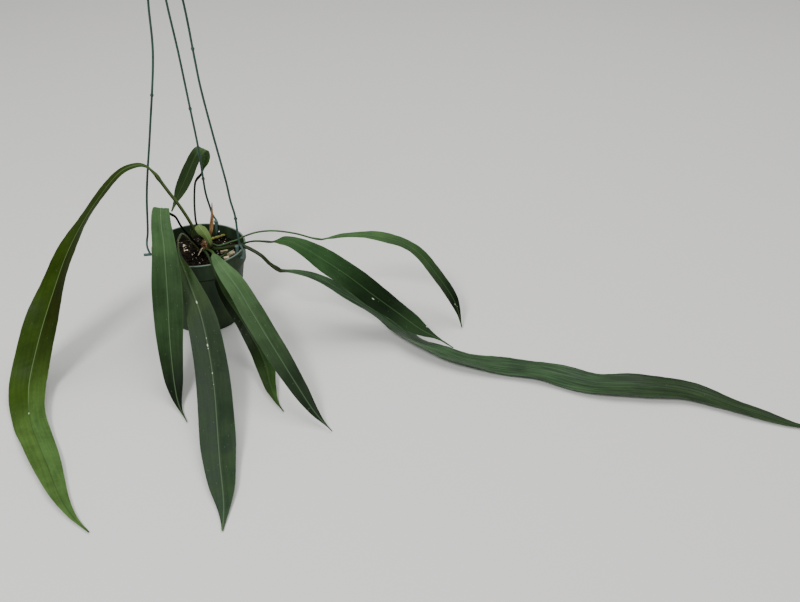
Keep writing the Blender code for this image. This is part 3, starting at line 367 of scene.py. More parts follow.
         (0.26, (0.36, 0.11, 0.93)), (0.3, (0.35, 0.23, 0.91)), (0.34, (0.27, 0.25, 0.93)),
         (0.42, (0.04, 0.16, 0.99)), (0.59, (-0.03, -0.04, 1)), (0.67, (-0.09, -0.03, 1)),
         (0.75, (0.05, -0.08, 1)), (0.87, (0.04, 0, 1)), (1, (0, 0, 1))],
        look("#41613b", "#365433", "#3a5538", "#4c6c47", "#2c3a18", 0.25), petiole_radius=2.2,
        tones=((0.0, 1.0), (0.2, 1.0), (0.35, 0.8), (0.6, 0.77), (0.75, (0.42, 0.44, 0.3)),
               (1.0, (0.38, 0.42, 0.26))),
        fold=((0, 5), (1, 5)), wave=(1, 74, 0.25), pleat=0.3, streak=0.45,
    ),
    leaf(
        "leaf_back", "leaf_skin", (125.0, 96.5),
        [(-2.6, 13, 118), (-5, 22, 128), (-6.2, 32, 140), (-6.2, 43, 153.5), (-4.8, 49, 158.5),
         (0.7, 55, 163.5)],
        [(2.4, 57.4, 168.6), (4.8, 59.1, 176.2), (6.5, 59.5, 185), (6.3, 58.4, 193.2),
         (4, 54.3, 195.6), (-0.6, 48.6, 192.1), (-7.6, 41.7, 179.3), (-15.1, 34.7, 164.3),
         (-22.9, 27.9, 149.5), (-32, 20, 130.8)],
        [(0, 1), (0.07, 2.6), (0.11, 4.9), (0.2, 7.2), (0.34, 7.8), (0.57, 11.9), (0.7, 10.8),
         (0.8, 8.1), (0.9, 3.3), (1, 1)],
        [(0, (0.5, 0.85, 0)), (0.2, (0.5, 0.85, 0.25)), (0.36, (0.3, 0.1, 1)),
         (0.5, (-0.4, -0.5, 0.8)), (1, (-0.45, -0.6, 0.6))],
        look("#456033", "#3a522c", "#4a6838", "#4a6434", "#33482f", 0.12), petiole_radius=1.3,
        tones=((0.0, 1.0), (0.3, 1.0), (0.4, 0.4), (0.7, 0.45), (1.0, 0.9)),
        fold=((0, 5), (1, 5)), wave=(0.4, 50.0, 0.0),
    ),
    leaf(
        "leaf_young", "leaf_skin_young", (-45.0, 96.0),
        [(15.5, -2.5, 95.4)],
        [(16.2, -5, 97), (16, -8, 101.5), (14.1, -9, 107.9), (11.2, -9, 114.7), (7.8, -8, 120.1),
         (5, -6, 123.6), (3.8, -3, 124.6), (4.4, 1, 123.6)],
        [(0, 1), (0.2, 2.6), (0.45, 4.9), (0.68, 6.6), (0.88, 6.4), (0.96, 4.4), (1, 1.4)],
        [(0, (0.1, 0.95, -0.1)), (0.55, (0.1, 0.8, -0.6)), (0.8, (0, 0.3, -1)),
         (1, (0, -0.2, -1))],
        look("#75904e", "#63793f", "#6a8348", "#93a66c", "#647a40", 0.2), petiole_radius=1.0,
        fold=((0, 28), (1, 24)), wave=(0.2, 20.0, 0.0),
    ),
)

SHEATH = leaf(
    "cataphyll", "dried_sheath", (68.0, 89.0),
    [(10.3, 17.5, 92.5)],
    [(10.8, 20, 97), (12.6, 21, 108), (14.4, 22, 120), (15.4, 22.5, 130), (16.2, 23, 141)],
    [(0, 0.8), (0.15, 1.9), (0.38, 2.9), (0.6, 2.4), (0.85, 1.1), (1, 0.5)],
    [(0, (0, -1, 0.1)), (1, (0, -1, 0.1))],
    None,
    petiole_radius=1.0, fold=((0, 35), (1, 35)), wave=(0, 30, 0),
    rib=((0.0, 0.0), (1.0, 0.0)), pleat=0.12,
)

STRANDS = {
    "left": [(-58.2, -10.5, 99), (-57.5, -11, 108), (-54.5, -12, 122), (-50, -13, 163),
             (-45, -13, 195), (-36, -12, 245), (-22.5, -11, 327), (-20.2, -10, 386),
             (-15, -8, 445)],
    "back": [(12.5, 57.8, 99), (8.4, 56, 109.5), (7.8, 49, 123), (6.3, 40, 146), (6.5, 33, 174.5),
             (6.1, 27, 212), (3.3, 20, 262), (-0.4, 11, 326), (-4.8, 3, 382.5), (-8, -2, 445)],
    "front": [(55.6, -19, 97.5), (54.2, -19.2, 103), (51.8, -19.6, 110), (50.8, -20, 124.3),
              (49.9, -20.8, 145.4), (46.5, -22, 165), (44, -22.5, 187),
              (38.8, -20, 215), (32.8, -18, 248), (25, -14, 293), (21.4, -12, 325),
              (15.2, -9, 385), (4, -6, 445)],
}
STRAND_STOPS = {"left": (0.48,), "back": (0.2, 0.42), "front": (0.13, 0.6)}

ROOT_STUB_SEAT = (105.0, 88.6)
ROOT_STUB = [(4.8, 24, 88.4), (8, 31.5, 88), (12.5, 36.4, 87.4), (16.3, 39.2, 87.2),
             (20.6, 42.9, 87.2), (23.3, 44.1, 87.8)]
ROOT_CURL = [(4.6, 3.5, 92), (3.4, -0.5, 92), (2.2, -4.5, 90.8), (1, -7.4, 89.2), (0, -10, 87.8)]

# Big pale pieces of bark that lie in the mix: place, length, width and height, and turn
PALE_CHIPS = (
    ((28.3, 3.8, 86.5), (9.0, 3.8, 3.0), 0.5),
    ((37.0, -2.5, 86.5), (11.0, 4.6, 3.6), 0.75),
    ((33.5, -11.1, 86.0), (6.5, 3.2, 2.4), 0.2),
    ((-22.4, 20.3, 84.5), (4.2, 2.0, 1.8), 1.1),
    ((-17.7, 7.6, 85.0), (5.0, 1.8, 1.6), 0.3),
    ((9.5, 26.0, 86.5), (4.0, 2.2, 2.0), 2.2),
)

# Rough natural surfaces: the stops of their colours, their grain in millimetres, their
# roughness, the depth of their relief in metres and the strength of their highlight
ROUGH_SURFACES = {
    # Stem tissue under old leaf bases: brown and tan with olive patches, dry and dull
    "fibrous_stem": (((0.3, "#2a1b10"), (0.48, "#5c4027"), (0.62, "#a98666"), (0.75, "#6f7142")),
                     3.0, 0.8, 0.0004, 0.35),
    # Skin of a root grown in the dark: chalky cream, matt
    "pale_root": (((0.3, "#b9a77a"), (0.7, "#ece3c6")), 1.2, 0.6, 0.0004, 0.35),
    # Velamen, the spongy skin of a root grown in the light: yellow-green, matt
    "root_velamen": (((0.32, "#5a5722"), (0.5, "#8f8d3f"), (0.68, "#c4b878")),
                     1.6, 0.7, 0.0004, 0.35),
    # Moist peat and fine bark: near black and lumpy, with hardly a highlight
    "peat_and_bark": (((0.3, "#070603"), (0.55, "#1b1710"), (0.72, "#463d2c")),
                      1.6, 0.85, 0.0009, 0.08),
    # Composted bark: black-brown, paler where it broke
    "composted_bark": (((0.3, "#0a0805"), (0.55, "#1e1810"), (0.75, "#483c2b")),
                       1.2, 0.6, 0.0004, 0.12),
    # Perlite, puffed volcanic glass: chalk white crumbs
    "perlite_crumbs": (((0.3, "#b8b3a4"), (0.7, "#f2efe6")), 0.8, 0.6, 0.0004, 0.35),
    # Bark bleached by weather: straw to cream
    "weathered_bark": (((0.3, "#a08960"), (0.5, "#d9caa2"), (0.7, "#f4eeda")),
                       2.2, 0.7, 0.0004, 0.35),
    # Coir, the fibre of coconut husk: dark to mid brown
    "coir_fibre": (((0.3, "#2a1c10"), (0.7, "#5d4429")), 1.5, 0.8, 0.0004, 0.35),
}


# ---- small tools -----------------------------------------------------------

def linear(code):
    """An sRGB hex code as linear RGBA."""
    values = [int(code[i:i + 2], 16) / 255.0 for i in (1, 3, 5)]
    return (*[v / 12.92 if v <= 0.04045 else ((v + 0.055) / 1.055) ** 2.4 for v in values], 1.0)


def shaded(colour, share):
    """A linear colour at a share of its brightness."""
    return (*[channel * share for channel in colour[:3]], 1.0)


def tone_ramp(tones):
    """Ramp stops of tones: one number is a grey share, three are red, green and blue."""
    return [(at, (*(tone if isinstance(tone, tuple) else (tone,) * 3), 1.0)) for at, tone in tones]


def per_mm(size):
    """Texture scale on metre coordinates for features of a size in millimetres."""
    return 1.0 / (size * MM)


def feed(tree, node, feeds):
    """Feed a node's inputs from values, nodes or sockets."""
    for key, value in feeds.items():
        if isinstance(value, bpy.types.Node):
            value = next(socket for socket in value.outputs if socket.enabled)
        if isinstance(value, bpy.types.NodeSocket):
            tree.links.new(value, node.inputs[key])
        else:
            node.inputs[key].default_value = value


def add_node(tree, kind, feeds=None, ramp=None, **settings):
    """Add one node with its settings, its feeds and its colour ramp."""
    made = tree.nodes.new(kind)
    for key, value in settings.items():
        setattr(made, key, value)
    feed(tree, made, feeds or {})
    if ramp:
        elements = made.color_ramp.elements
        while len(elements) < len(ramp):
            elements.new(0.5)
        for element, (place, colour) in zip(elements, ramp):
            element.position = place
            element.color = colour
    return made


def blank_material(name):
    """A material with its tree and its Principled shader."""
    material = bpy.data.materials.new(name)
    material.use_nodes = True
    return material, material.node_tree, material.node_tree.nodes["Principled BSDF"]


def named(body, name):
    """An object with its own name and its data's name set."""
    body.name = name
    body.data.name = name
    return body


def pick(*bodies):
    """Leave edit mode with just these bodies selected, the first one active."""
    if bpy.context.object and bpy.context.object.mode != "OBJECT":
        bpy.ops.object.mode_set(mode="OBJECT")
    bpy.ops.object.select_all(action="DESELECT")
    for body in bodies:
        body.select_set(True)
    if bodies:
        bpy.context.view_layer.objects.active = bodies[0]


def close_up(body):
    """Merge doubles, close open ends and turn faces outward."""
    pick(body)
    bpy.ops.object.mode_set(mode="EDIT")
    bpy.ops.mesh.select_mode(type="VERT")
    bpy.ops.mesh.select_all(action="SELECT")
    bpy.ops.mesh.remove_doubles(threshold=MERGE_DISTANCE)
    bpy.ops.mesh.select_all(action="DESELECT")
    bpy.ops.mesh.select_non_manifold()
    bpy.ops.mesh.fill_holes(sides=0)
    bpy.ops.mesh.select_all(action="SELECT")
    bpy.ops.mesh.normals_make_consistent(inside=False)
    bpy.ops.object.mode_set(mode="OBJECT")


def rolled(name, rings, notes=None):
    """A closed body from a grid primitive whose columns are rolled round a row of rings.

    Rings are millimetre points, shape (rows, columns, 3). Notes are values per
    point that the materials read, by name.
    """
    rows, columns = rings.shape[:2]
    pick()
    bpy.ops.mesh.primitive_grid_add(x_subdivisions=columns, y_subdivisions=rows - 1, size=2.0)
    body = named(bpy.context.object, name)
    mesh = body.data
    flat = np.empty(len(mesh.vertices) * 3)
    mesh.vertices.foreach_get("co", flat)
    flat = flat.reshape(-1, 3)
    column = np.rint((flat[:, 0] + 1.0) / 2.0 * columns).astype(int) % columns
    row = np.rint((flat[:, 1] + 1.0) / 2.0 * (rows - 1)).astype(int)
    mesh.vertices.foreach_set("co", (rings[row, column] * MM).ravel())
    for key, values in (notes or {}).items():
        note = mesh.attributes.new(key, "FLOAT", "POINT")
        note.data.foreach_set("value", values[row, column].astype(np.float32))
    close_up(body)
    bpy.ops.object.shade_smooth()
    return body


def joined(name, bodies):
    """Several bodies as one, under a new name."""
    pick(*bodies)
    if len(bodies) > 1:
        bpy.ops.object.join()
    return named(bodies[0], name)


def settle(*bodies):
    """Put each body's place, turn and size into its mesh."""
    pick(*bodies)
    bpy.ops.object.transform_apply(location=True, rotation=True, scale=True)


def add_modifier(body, kind, **settings):
    """Add a modifier, set it and apply it."""
    pick(body)
    modifier = body.modifiers.new(kind.lower(), kind)
    for key, value in settings.items():
        setattr(modifier, key, value)
    bpy.ops.object.modifier_apply(modifier=modifier.name)


def dress(body, material, slot, *nodes):
    """Give a finished piece its material and its body, and hide the solids it stands for. The slot
    is not used.
    """
    body.data.materials.clear()
    body.data.materials.append(material)
    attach(body, BODY)
    if nodes:
        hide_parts(*nodes)


# ---- routes and sections ---------------------------------------------------

def smooth_route(points, step):
    """Points about one step apart along a smooth curve through the given ones, and its length."""
    knots = np.array(points, float)
    ends = np.vstack([2 * knots[0] - knots[1], knots, 2 * knots[-1] - knots[-2]])
    t = np.arange(ROUTE_SAMPLES)[:, None] / ROUTE_SAMPLES
    fine = []
    for i in range(1, len(ends) - 2):
        a, b, c, d = ends[i - 1:i + 3]
        fine.append(0.5 * (2 * b + (c - a) * t + (2 * a - 5 * b + 4 * c - d) * t ** 2
                           + (3 * b - a - 3 * c + d) * t ** 3))
    fine = np.vstack(fine + [knots[-1:]])
    lengths = np.concatenate([[0.0], np.cumsum(np.linalg.norm(np.diff(fine, axis=0), axis=1))])
    targets = np.linspace(0.0, lengths[-1], max(2, round(lengths[-1] / step)) + 1)
    return np.stack([np.interp(targets, lengths, axis) for axis in fine.T], 1), lengths[-1]


def unit(vectors):
    """Vectors at length one."""
    return vectors / np.maximum(np.linalg.norm(vectors, axis=-1, keepdims=True), 1e-9)


def tube_rings(route, radii, sides):
    """Round rings along a route, each turned as little as possible from the last."""
    along = unit(np.gradient(route, axis=0))
    side = np.cross(along[0], (0.0, 0.0, 1.0))
    if np.linalg.norm(side) < 0.1:
        side = np.cross(along[0], (0.0, 1.0, 0.0))
    angles = 2.0 * math.pi * np.arange(sides) / sides
    rings = []
    for centre, ahead, radius in zip(route, along, radii):
        side = unit(side - ahead * side.dot(ahead))
        other = np.cross(ahead, side)
        spokes = np.cos(angles)[:, None] * side + np.sin(angles)[:, None] * other
        rings.append(centre + spokes * radius)
    return np.array(rings)


def tube(name, points, radius, sides, step, shape=lambda p, length: 1.0):
    """A round rod along a smooth route. Shape gives a share of the radius at a length."""
    route, length = smooth_route(points, step)
    shares = np.array([shape(p, length) for p in np.linspace(0.0, length, len(route))])
    return rolled(name, tube_rings(route, radius * shares, sides))


def around(angle, reach, centre=(0.0, 0.0)):
    """The place at an angle and a distance from a centre."""
    return centre[0] + reach * math.cos(angle), centre[1] + reach * math.sin(angle)


def level_way(azimuth):
    """Level unit vector at an azimuth in degrees."""
    return np.array((*around(math.radians(azimuth), 1.0), 0.0))


def crown_radius(height):
    """The crown's radius, which tapers above its shoulder."""
    return CROWN_RADIUS - max(0.0, height - CROWN_SHOULDER) * CROWN_TAPER


def crown_seat(azimuth, height):
    """A point just off the crown's side, and one straight out from it."""
    outward = level_way(azimuth)
    middle = np.array((*CROWN_PLACE, height))
    reach = crown_radius(height - SEAT_DROP) + SEAT
    return middle + outward * reach, middle + outward * (reach + SEAT_LEAD)


def smoothstep(values):
    """Ease from 0 to 1."""
    values = np.clip(values, 0.0, 1.0)
    return values * values * (3.0 - 2.0 * values)


def wave(distance, length, shift=0.0):
    """A sine wave of a length, along a distance."""
    return np.sin(2.0 * math.pi * distance / length + shift)


def hump(distance, width):
    """A smooth hump, 1 in its middle."""
    return np.exp(-(distance / width) ** 2)


def table_values(table, place):
    """A table's numbers or vectors at fractions of the blade, one row for each."""
    marks = [p for p, _ in table]
    columns = np.array([v for _, v in table], float).reshape(len(table), -1).T
    return np.stack([np.interp(place, marks, column) for column in columns], 1)


def eased_values(table, place):
    """The same, with the table's corners rounded off."""
    shifts = (-TABLE_EASE, 0.0, TABLE_EASE)
    return sum(table_values(table, np.clip(place + s, 0.0, 1.0)) for s in shifts) / len(shifts)


def smoothed(values, spread):
    """Values along a route, blurred over some rows."""
    reach = int(3 * spread)
    weights = np.exp(-0.5 * (np.arange(-reach, reach + 1) / spread) ** 2)
    weights /= weights.sum()
    padded = np.pad(values, ((reach, reach), (0, 0)), mode="edge")
    return np.stack([np.convolve(column, weights, "valid") for column in padded.T], 1)


def blade_section(form, ripple_height, place, run, half):
    """How far a blade's points lie across and above its middle, ring by ring.

    The fold lifts both halves, and waves of the margins, pleats along the blade
    and quilting along its side veins are added, calm at the blade's two ends.
    """
    lateral = LATERAL * half
    far = LATERAL > 0
    inward = 1.0 - LATERAL ** 4
    calm = np.sin(math.pi * place)[:, None] ** 0.5
    fold = np.radians(eased_values(form["fold"], place))
    height, length, phase = form["wave"]
    sway = wave(run, length, 2.0 * math.pi * (phase + FAR_LAG * far))
    ripple = wave(run, RIPPLE_LENGTH, 5.0 * phase + 2.0 * far)
    ripple += RIPPLE_SHARE * wave(run, SHORT_RIPPLE_LENGTH, 3.0 * far)
    pleats = form["pleat"] * wave(lateral, PLEAT_LENGTH)
    quilt = QUILT_HEIGHT * wave(run - VEIN_SLANT * np.abs(lateral), QUILT_LENGTH)
    quilt *= np.clip(half / QUILT_LENGTH, 0.0, 1.0)
    margins = height * LATERAL ** 2 * sway + ripple_height * np.abs(LATERAL) ** 3 * ripple
    waves = margins + (pleats + quilt) * inward
    return lateral * np.cos(fold), np.abs(lateral) * np.sin(fold) + calm * waves


def leaf_rings(form, sizes):
    """Rings of a leaf from its foot on the crown to its tip, and what the material reads."""
    seat, lead = crown_seat(*form["seat"])
    stalk, stalk_length = smooth_route([lead] + form["petiole"], sizes.row_step / MM)
    blade, blade_length = smooth_route([form["petiole"][-1]] + form["blade"], sizes.row_step / MM)
    centres = np.vstack([seat, stalk, blade[1:]])
    along = np.concatenate([np.linspace(-stalk_length, 0.0, len(stalk) + 1),
                            np.linspace(0.0, blade_length, len(blade))[1:]])
    place = np.clip(along / blade_length, 0.0, 1.0)
    run = along[:, None]

    # Directions along, up and across, the blade's share at each ring, and its half-width
    ahead = unit(np.gradient(centres, axis=0))
    face = smoothed(table_values(form["facing"], place), FACING_BLUR)
    up = unit(face - ahead * (face * ahead).sum(1, keepdims=True))
    across = np.cross(ahead, up)
    blend = smoothstep(run / NECK)
    radius = form["petiole_radius"]
    half = np.maximum(eased_values(form["widths"], place), radius * (1.0 - blend))
    half = np.maximum(half, sizes.tip_half_width / MM)
    spread, lift = blade_section(form, sizes.ripple / MM, place, run, half)

    # Half the blade's thickness, less at the margins, and the midrib above and below
    lateral = LATERAL * half
    thick = sizes.blade_thickness / MM * (0.5 - 0.25 * LATERAL ** 6)
    narrow = np.clip(half / NARROW_HALF, 0.25, 1.0)
    ridge = table_values(form["rib"], place) * hump(lateral, RIB_WIDTH * narrow)
    furrow = FURROW_DEPTH * hump(np.abs(lateral) - FURROW_PLACE, FURROW_WIDTH)
    keel = (KEEL_HEIGHT * (1.0 - KEEL_TAPER * place))[:, None] * hump(lateral, KEEL_WIDTH * narrow)

    # The stalk, thicker at its foot and at the joint below the blade, opens into the blade
    swell = 1.0 + sizes.joint_swell * hump(along + JOINT_SPREAD, JOINT_SPREAD)
    swell *= 1.0 + FOOT_FLARE * np.exp(-(along + stalk_length) / FOOT_SPREAD)
    count = len(LATERAL)
    angle = math.pi - (np.arange(count) + 0.5) * math.pi / count
    halves = []
    for side, heights in ((1, lift + thick + (ridge - furrow) * narrow), (-1, lift - thick - keel)):
        turn = side * angle
        groove = 1.0 - STALK_GROOVE * max(side, 0) * np.sin(turn) ** 2
        reach = (radius * swell)[:, None] * groove
        rod = (across[:, None] * (np.cos(turn) * reach)[..., None]
               + up[:, None] * (np.sin(turn) * reach)[..., None])
        flat = across[:, None] * spread[..., None] + up[:, None] * heights[..., None]
        shape = centres[:, None] + rod * (1.0 - blend[..., None]) + flat * blend[..., None]
        halves.append(shape[:, ::side])

    whole = np.ones_like(lateral)
    notes = {"upper": whole, "blade": blend * whole, "edge": np.abs(LATERAL) * whole,
             "lateral_mm": lateral, "along_mm": run * whole}
    notes = {key: np.hstack([values, values[:, ::-1]]) for key, values in notes.items()}
    notes["upper"][:, count:] = 0.0
    return np.concatenate(halves, axis=1), notes, blade_length


# ---- materials -------------------------------------------------------------

def leaf_tones(tree, form, along, lateral, blade_length):
    """How light the blade, one half and the other, and its midrib are along it: partly their own
    colour, partly painted light and shade.
    """
    share = add_node(tree, "ShaderNodeMath", {0: along, 1: 1.0 / blade_length},
                     operation="MULTIPLY")
    near, far, rib = (
        add_node(tree, "ShaderNodeValToRGB", {0: share}, ramp=tone_ramp(tones))
        for tones in (form["tones"], form["far_tones"] or form["tones"], form["rib_tones"]))
    side = add_node(tree, "ShaderNodeMapRange", {0: lateral, 1: -0.4, 2: 0.4})
    return add_node(tree, "ShaderNodeMix", {0: side, 6: near, 7: far}, data_type="RGBA"), rib


def scars_and_dust(tree, skin, form, place, along, lateral, upper, blade_length):
    """The skin with pale scars on its upper side and specks of dust all over."""
    spot = add_node(tree, "ShaderNodeCombineXYZ", {0: along, 1: lateral, 2: 0.0})
    for number, (at, off, radius) in enumerate(form["marks"]):
        away = add_node(tree, "ShaderNodeVectorMath", {0: spot, 1: (at * blade_length, off, 0.0)},
                        operation="SUBTRACT")
        stretch = (1.0, 2.2, 1.0) if number % 2 else (0.55, 1.6, 1.0)
        away = add_node(tree, "ShaderNodeVectorMath", {0: away, 1: stretch}, operation="MULTIPLY")
        away = add_node(tree, "ShaderNodeVectorMath", {0: away}, operation="LENGTH")
        scar = add_node(tree, "ShaderNodeMapRange", {
            0: away.outputs["Value"], 1: radius * 0.7, 2: radius, 3: 0.85, 4: 0.0})
        scar = add_node(tree, "ShaderNodeMath", {0: scar, 1: upper}, operation="MULTIPLY")
        skin = add_node(tree, "ShaderNodeMix", {0: scar, 6: skin, 7: linear("#dfe6cf")},
                        data_type="RGBA")
    dust = add_node(tree, "ShaderNodeTexVoronoi", {"Vector": place, "Scale": per_mm(DUST_GAP)})
    dust = add_node(tree, "ShaderNodeMapRange", {
        0: dust.outputs["Distance"], 1: 0.035, 2: 0.06, 3: 0.35, 4: 0.0})
    return add_node(tree, "ShaderNodeMix", {0: dust, 6: skin, 7: linear("#c9d2bd")},
                    data_type="RGBA")


def leaf_cuticle(name, form, blade_length):
    """Waxy leaf cuticle: green mottled by the tissue below, with a broad satin sheen.

    Side veins show as faint paler lines, the midrib as a pale line about a
    millimetre wide, and the underside is paler. The grain stands for
    cells far finer than it, and is drawn this coarse to show at all.
    """
    colours = form["look"]
    top, deep, under, pale, stalk_green = (
        linear(colours[key]) for key in ("top", "deep", "under", "rib", "stalk"))
    material, tree, shader = blank_material(name)
    place = add_node(tree, "ShaderNodeTexCoord").outputs["Object"]
    upper, blade, edge, along, lateral = (
        add_node(tree, "ShaderNodeAttribute", attribute_name=note).outputs["Fac"]
        for note in ("upper", "blade", "edge", "along_mm", "lateral_mm"))
    off_rib = add_node(tree, "ShaderNodeMath", {0: lateral}, operation="ABSOLUTE")

    # The tones are partly the leaf's own colour and partly painted light and shade along the blade
    # and across its halves
    tone, rib_tone_and_painted_shade = leaf_tones(tree, form, along, lateral, blade_length)
    # The midrib's tones darken it as painted shade where it runs in a groove
    rib_colour = add_node(tree, "ShaderNodeMix", {0: 1.0, 6: pale, 7: rib_tone_and_painted_shade}, data_type="RGBA",
                          blend_type="MULTIPLY")

    # Mottling, grain, side veins, tones with their painted light and shade, wrinkles with their
    # painted shade and highlight along the blade, midrib and margin
    mottle = add_node(tree, "ShaderNodeTexNoise", {
        "Vector": place, "Scale": per_mm(MOTTLE_SIZE), "Detail": 4.0})
    patch = add_node(tree, "ShaderNodeMapRange", {0: mottle, 1: 0.38, 2: 0.64})
    grain = add_node(tree, "ShaderNodeTexNoise", {
        "Vector": place, "Scale": per_mm(LEAF_GRAIN), "Detail": 3.0})
    grain_share = add_node(tree, "ShaderNodeMapRange", {0: grain, 1: 0.35, 2: 0.7, 3: 0.0, 4: 0.08})
    drift = add_node(tree, "ShaderNodeTexNoise", {"Vector": place, "Scale": per_mm(DRIFT_SIZE)})
    slant = add_node(tree, "ShaderNodeMath", {0: off_rib, 1: -VEIN_SLANT, 2: along},
                     operation="MULTIPLY_ADD")
    slant = add_node(tree, "ShaderNodeMath", {0: drift, 1: VEIN_DRIFT, 2: slant},
                     operation="MULTIPLY_ADD")
    cycle = add_node(tree, "ShaderNodeMath", {0: slant, 1: VEIN_GAP / 2.0}, operation="PINGPONG")
    vein = add_node(tree, "ShaderNodeMapRange", {0: cycle, 1: 0.0, 2: 0.7, 3: 1.0, 4: 0.0},
                    interpolation_type="SMOOTHSTEP")
    vein_share = add_node(tree, "ShaderNodeMath", {0: vein, 1: 0.05}, operation="MULTIPLY")
    drawn_out = add_node(tree, "ShaderNodeMath", {0: along, 1: 0.06}, operation="MULTIPLY")
    flow = add_node(tree, "ShaderNodeCombineXYZ", {0: drawn_out, 1: lateral, 2: 0.0})
    wrinkles = add_node(tree, "ShaderNodeTexNoise", {"Vector": flow, "Scale": 0.4, "Detail": 2.0})
    # Wrinkles darken and lighten the green lengthways as painted shade and highlight along them
    streak = form["streak"]
    wrinkles = add_node(tree, "ShaderNodeMapRange", {
        0: wrinkles, 1: 0.35, 2: 0.65, 3: 1.0 - streak, 4: 1.0 + 0.6 * streak})
    rib = add_node(tree, "ShaderNodeMapRange", {0: off_rib, 1: 0.2, 2: 0.75, 3: 1.0, 4: 0.0},
                   interpolation_type="SMOOTHSTEP")
    rib_share = add_node(tree, "ShaderNodeMath", {0: rib, 1: 0.46}, operation="MULTIPLY")
    margin = add_node(tree, "ShaderNodeMapRange", {0: edge, 1: 0.955, 2: 0.995, 3: 0.0, 4: 0.22})
    green = deep
    for amount, layer, blend in (
            (patch, top, "MIX"), (grain_share, pale, "MIX"), (vein_share, pale, "MIX"),
            (1.0, tone, "MULTIPLY"), (1.0, wrinkles, "MULTIPLY"), (rib_share, rib_colour, "MIX"),
            (margin, pale, "MIX")):
        green = add_node(tree, "ShaderNodeMix", {0: amount, 6: green, 7: layer}, data_type="RGBA",
                         blend_type=blend)

    # Underside, and the streaked stalk below the blade, whose lower side is painted at a fifth of
    # its green as shade
    streaks = add_node(tree, "ShaderNodeTexNoise", {"Vector": flow, "Scale": 1.0, "Detail": 2.0})
    stalk = add_node(tree, "ShaderNodeValToRGB", {0: streaks},
                     ramp=((0.3, shaded(stalk_green, 0.55)), (0.65, stalk_green)))
    skin = under
    for amount, layer in ((grain_share, pale), (rib_share, pale), (upper, green)):
        skin = add_node(tree, "ShaderNodeMix", {0: amount, 6: skin, 7: layer}, data_type="RGBA")
    # The stalk's lower side is painted shade
    stalk = add_node(tree, "ShaderNodeMix", {0: upper, 6: shaded(stalk_green, 0.22), 7: stalk},
                     data_type="RGBA")
    skin = add_node(tree, "ShaderNodeMix", {0: blade, 6: stalk, 7: skin}, data_type="RGBA")

    skin = scars_and_dust(tree, skin, form, place, along, lateral, upper, blade_length)
    sheen = colours["sheen"]
    shine = add_node(tree, "ShaderNodeMapRange", {
        0: mottle, 1: 0.3, 2: 0.7, 3: sheen - 0.07, 4: sheen + 0.09})
    relief = add_node(tree, "ShaderNodeMath", {0: vein, 1: -0.3, 2: grain},
                      operation="MULTIPLY_ADD")
    bump = add_node(tree, "ShaderNodeBump", {
        "Strength": 0.22, "Distance": 0.0003, "Height": relief})
    feed(tree, shader, {"Base Color": skin, "Roughness": shine, "Normal": bump,
                        "Specular IOR Level": colours["gloss"]})
    return material


def dried_bract(name):
    """Dried sheath: papery tan tissue, streaked lengthways and dull."""
    material, tree, shader = blank_material(name)
    along, lateral = (
        add_node(tree, "ShaderNodeAttribute", attribute_name=note).outputs["Fac"]
        for note in ("along_mm", "lateral_mm"))
    flow = add_node(tree, "ShaderNodeCombineXYZ", {0: along, 1: lateral, 2: 0.0})
    flow = add_node(tree, "ShaderNodeVectorMath", {0: flow, 1: (0.08, 1.4, 1.0)},
                    operation="MULTIPLY")
    streaks = add_node(tree, "ShaderNodeTexNoise", {"Vector": flow, "Scale": 1.0, "Detail": 4.0})
    tan = add_node(tree, "ShaderNodeValToRGB", {0: streaks}, ramp=(
        (0.3, linear("#5f3d1f")), (0.5, linear("#94683a")), (0.7, linear("#cdb189"))))
    bump = add_node(tree, "ShaderNodeBump", {
        "Strength": 0.5, "Distance": 0.0003, "Height": streaks})
    feed(tree, shader, {"Base Color": tan, "Roughness": 0.72, "Normal": bump})
    return material


def speckled(name):
    """A rough natural surface: its colours drawn through noise of its grain size, with relief."""
    ramp, size, roughness, depth, gloss = ROUGH_SURFACES[name]
    material, tree, shader = blank_material(name)
    place = add_node(tree, "ShaderNodeTexCoord").outputs["Object"]
    grain = add_node(tree, "ShaderNodeTexNoise", {
        "Vector": place, "Scale": per_mm(size), "Detail": 6.0, "Roughness": 0.65})
    colour = add_node(tree, "ShaderNodeValToRGB", {0: grain},
                      ramp=[(at, linear(code)) for at, code in ramp])
    bump = add_node(tree, "ShaderNodeBump", {"Strength": 0.8, "Distance": depth, "Height": grain})
    feed(tree, shader, {"Base Color": colour, "Roughness": roughness, "Normal": bump,
                        "Specular IOR Level": gloss})
    return material


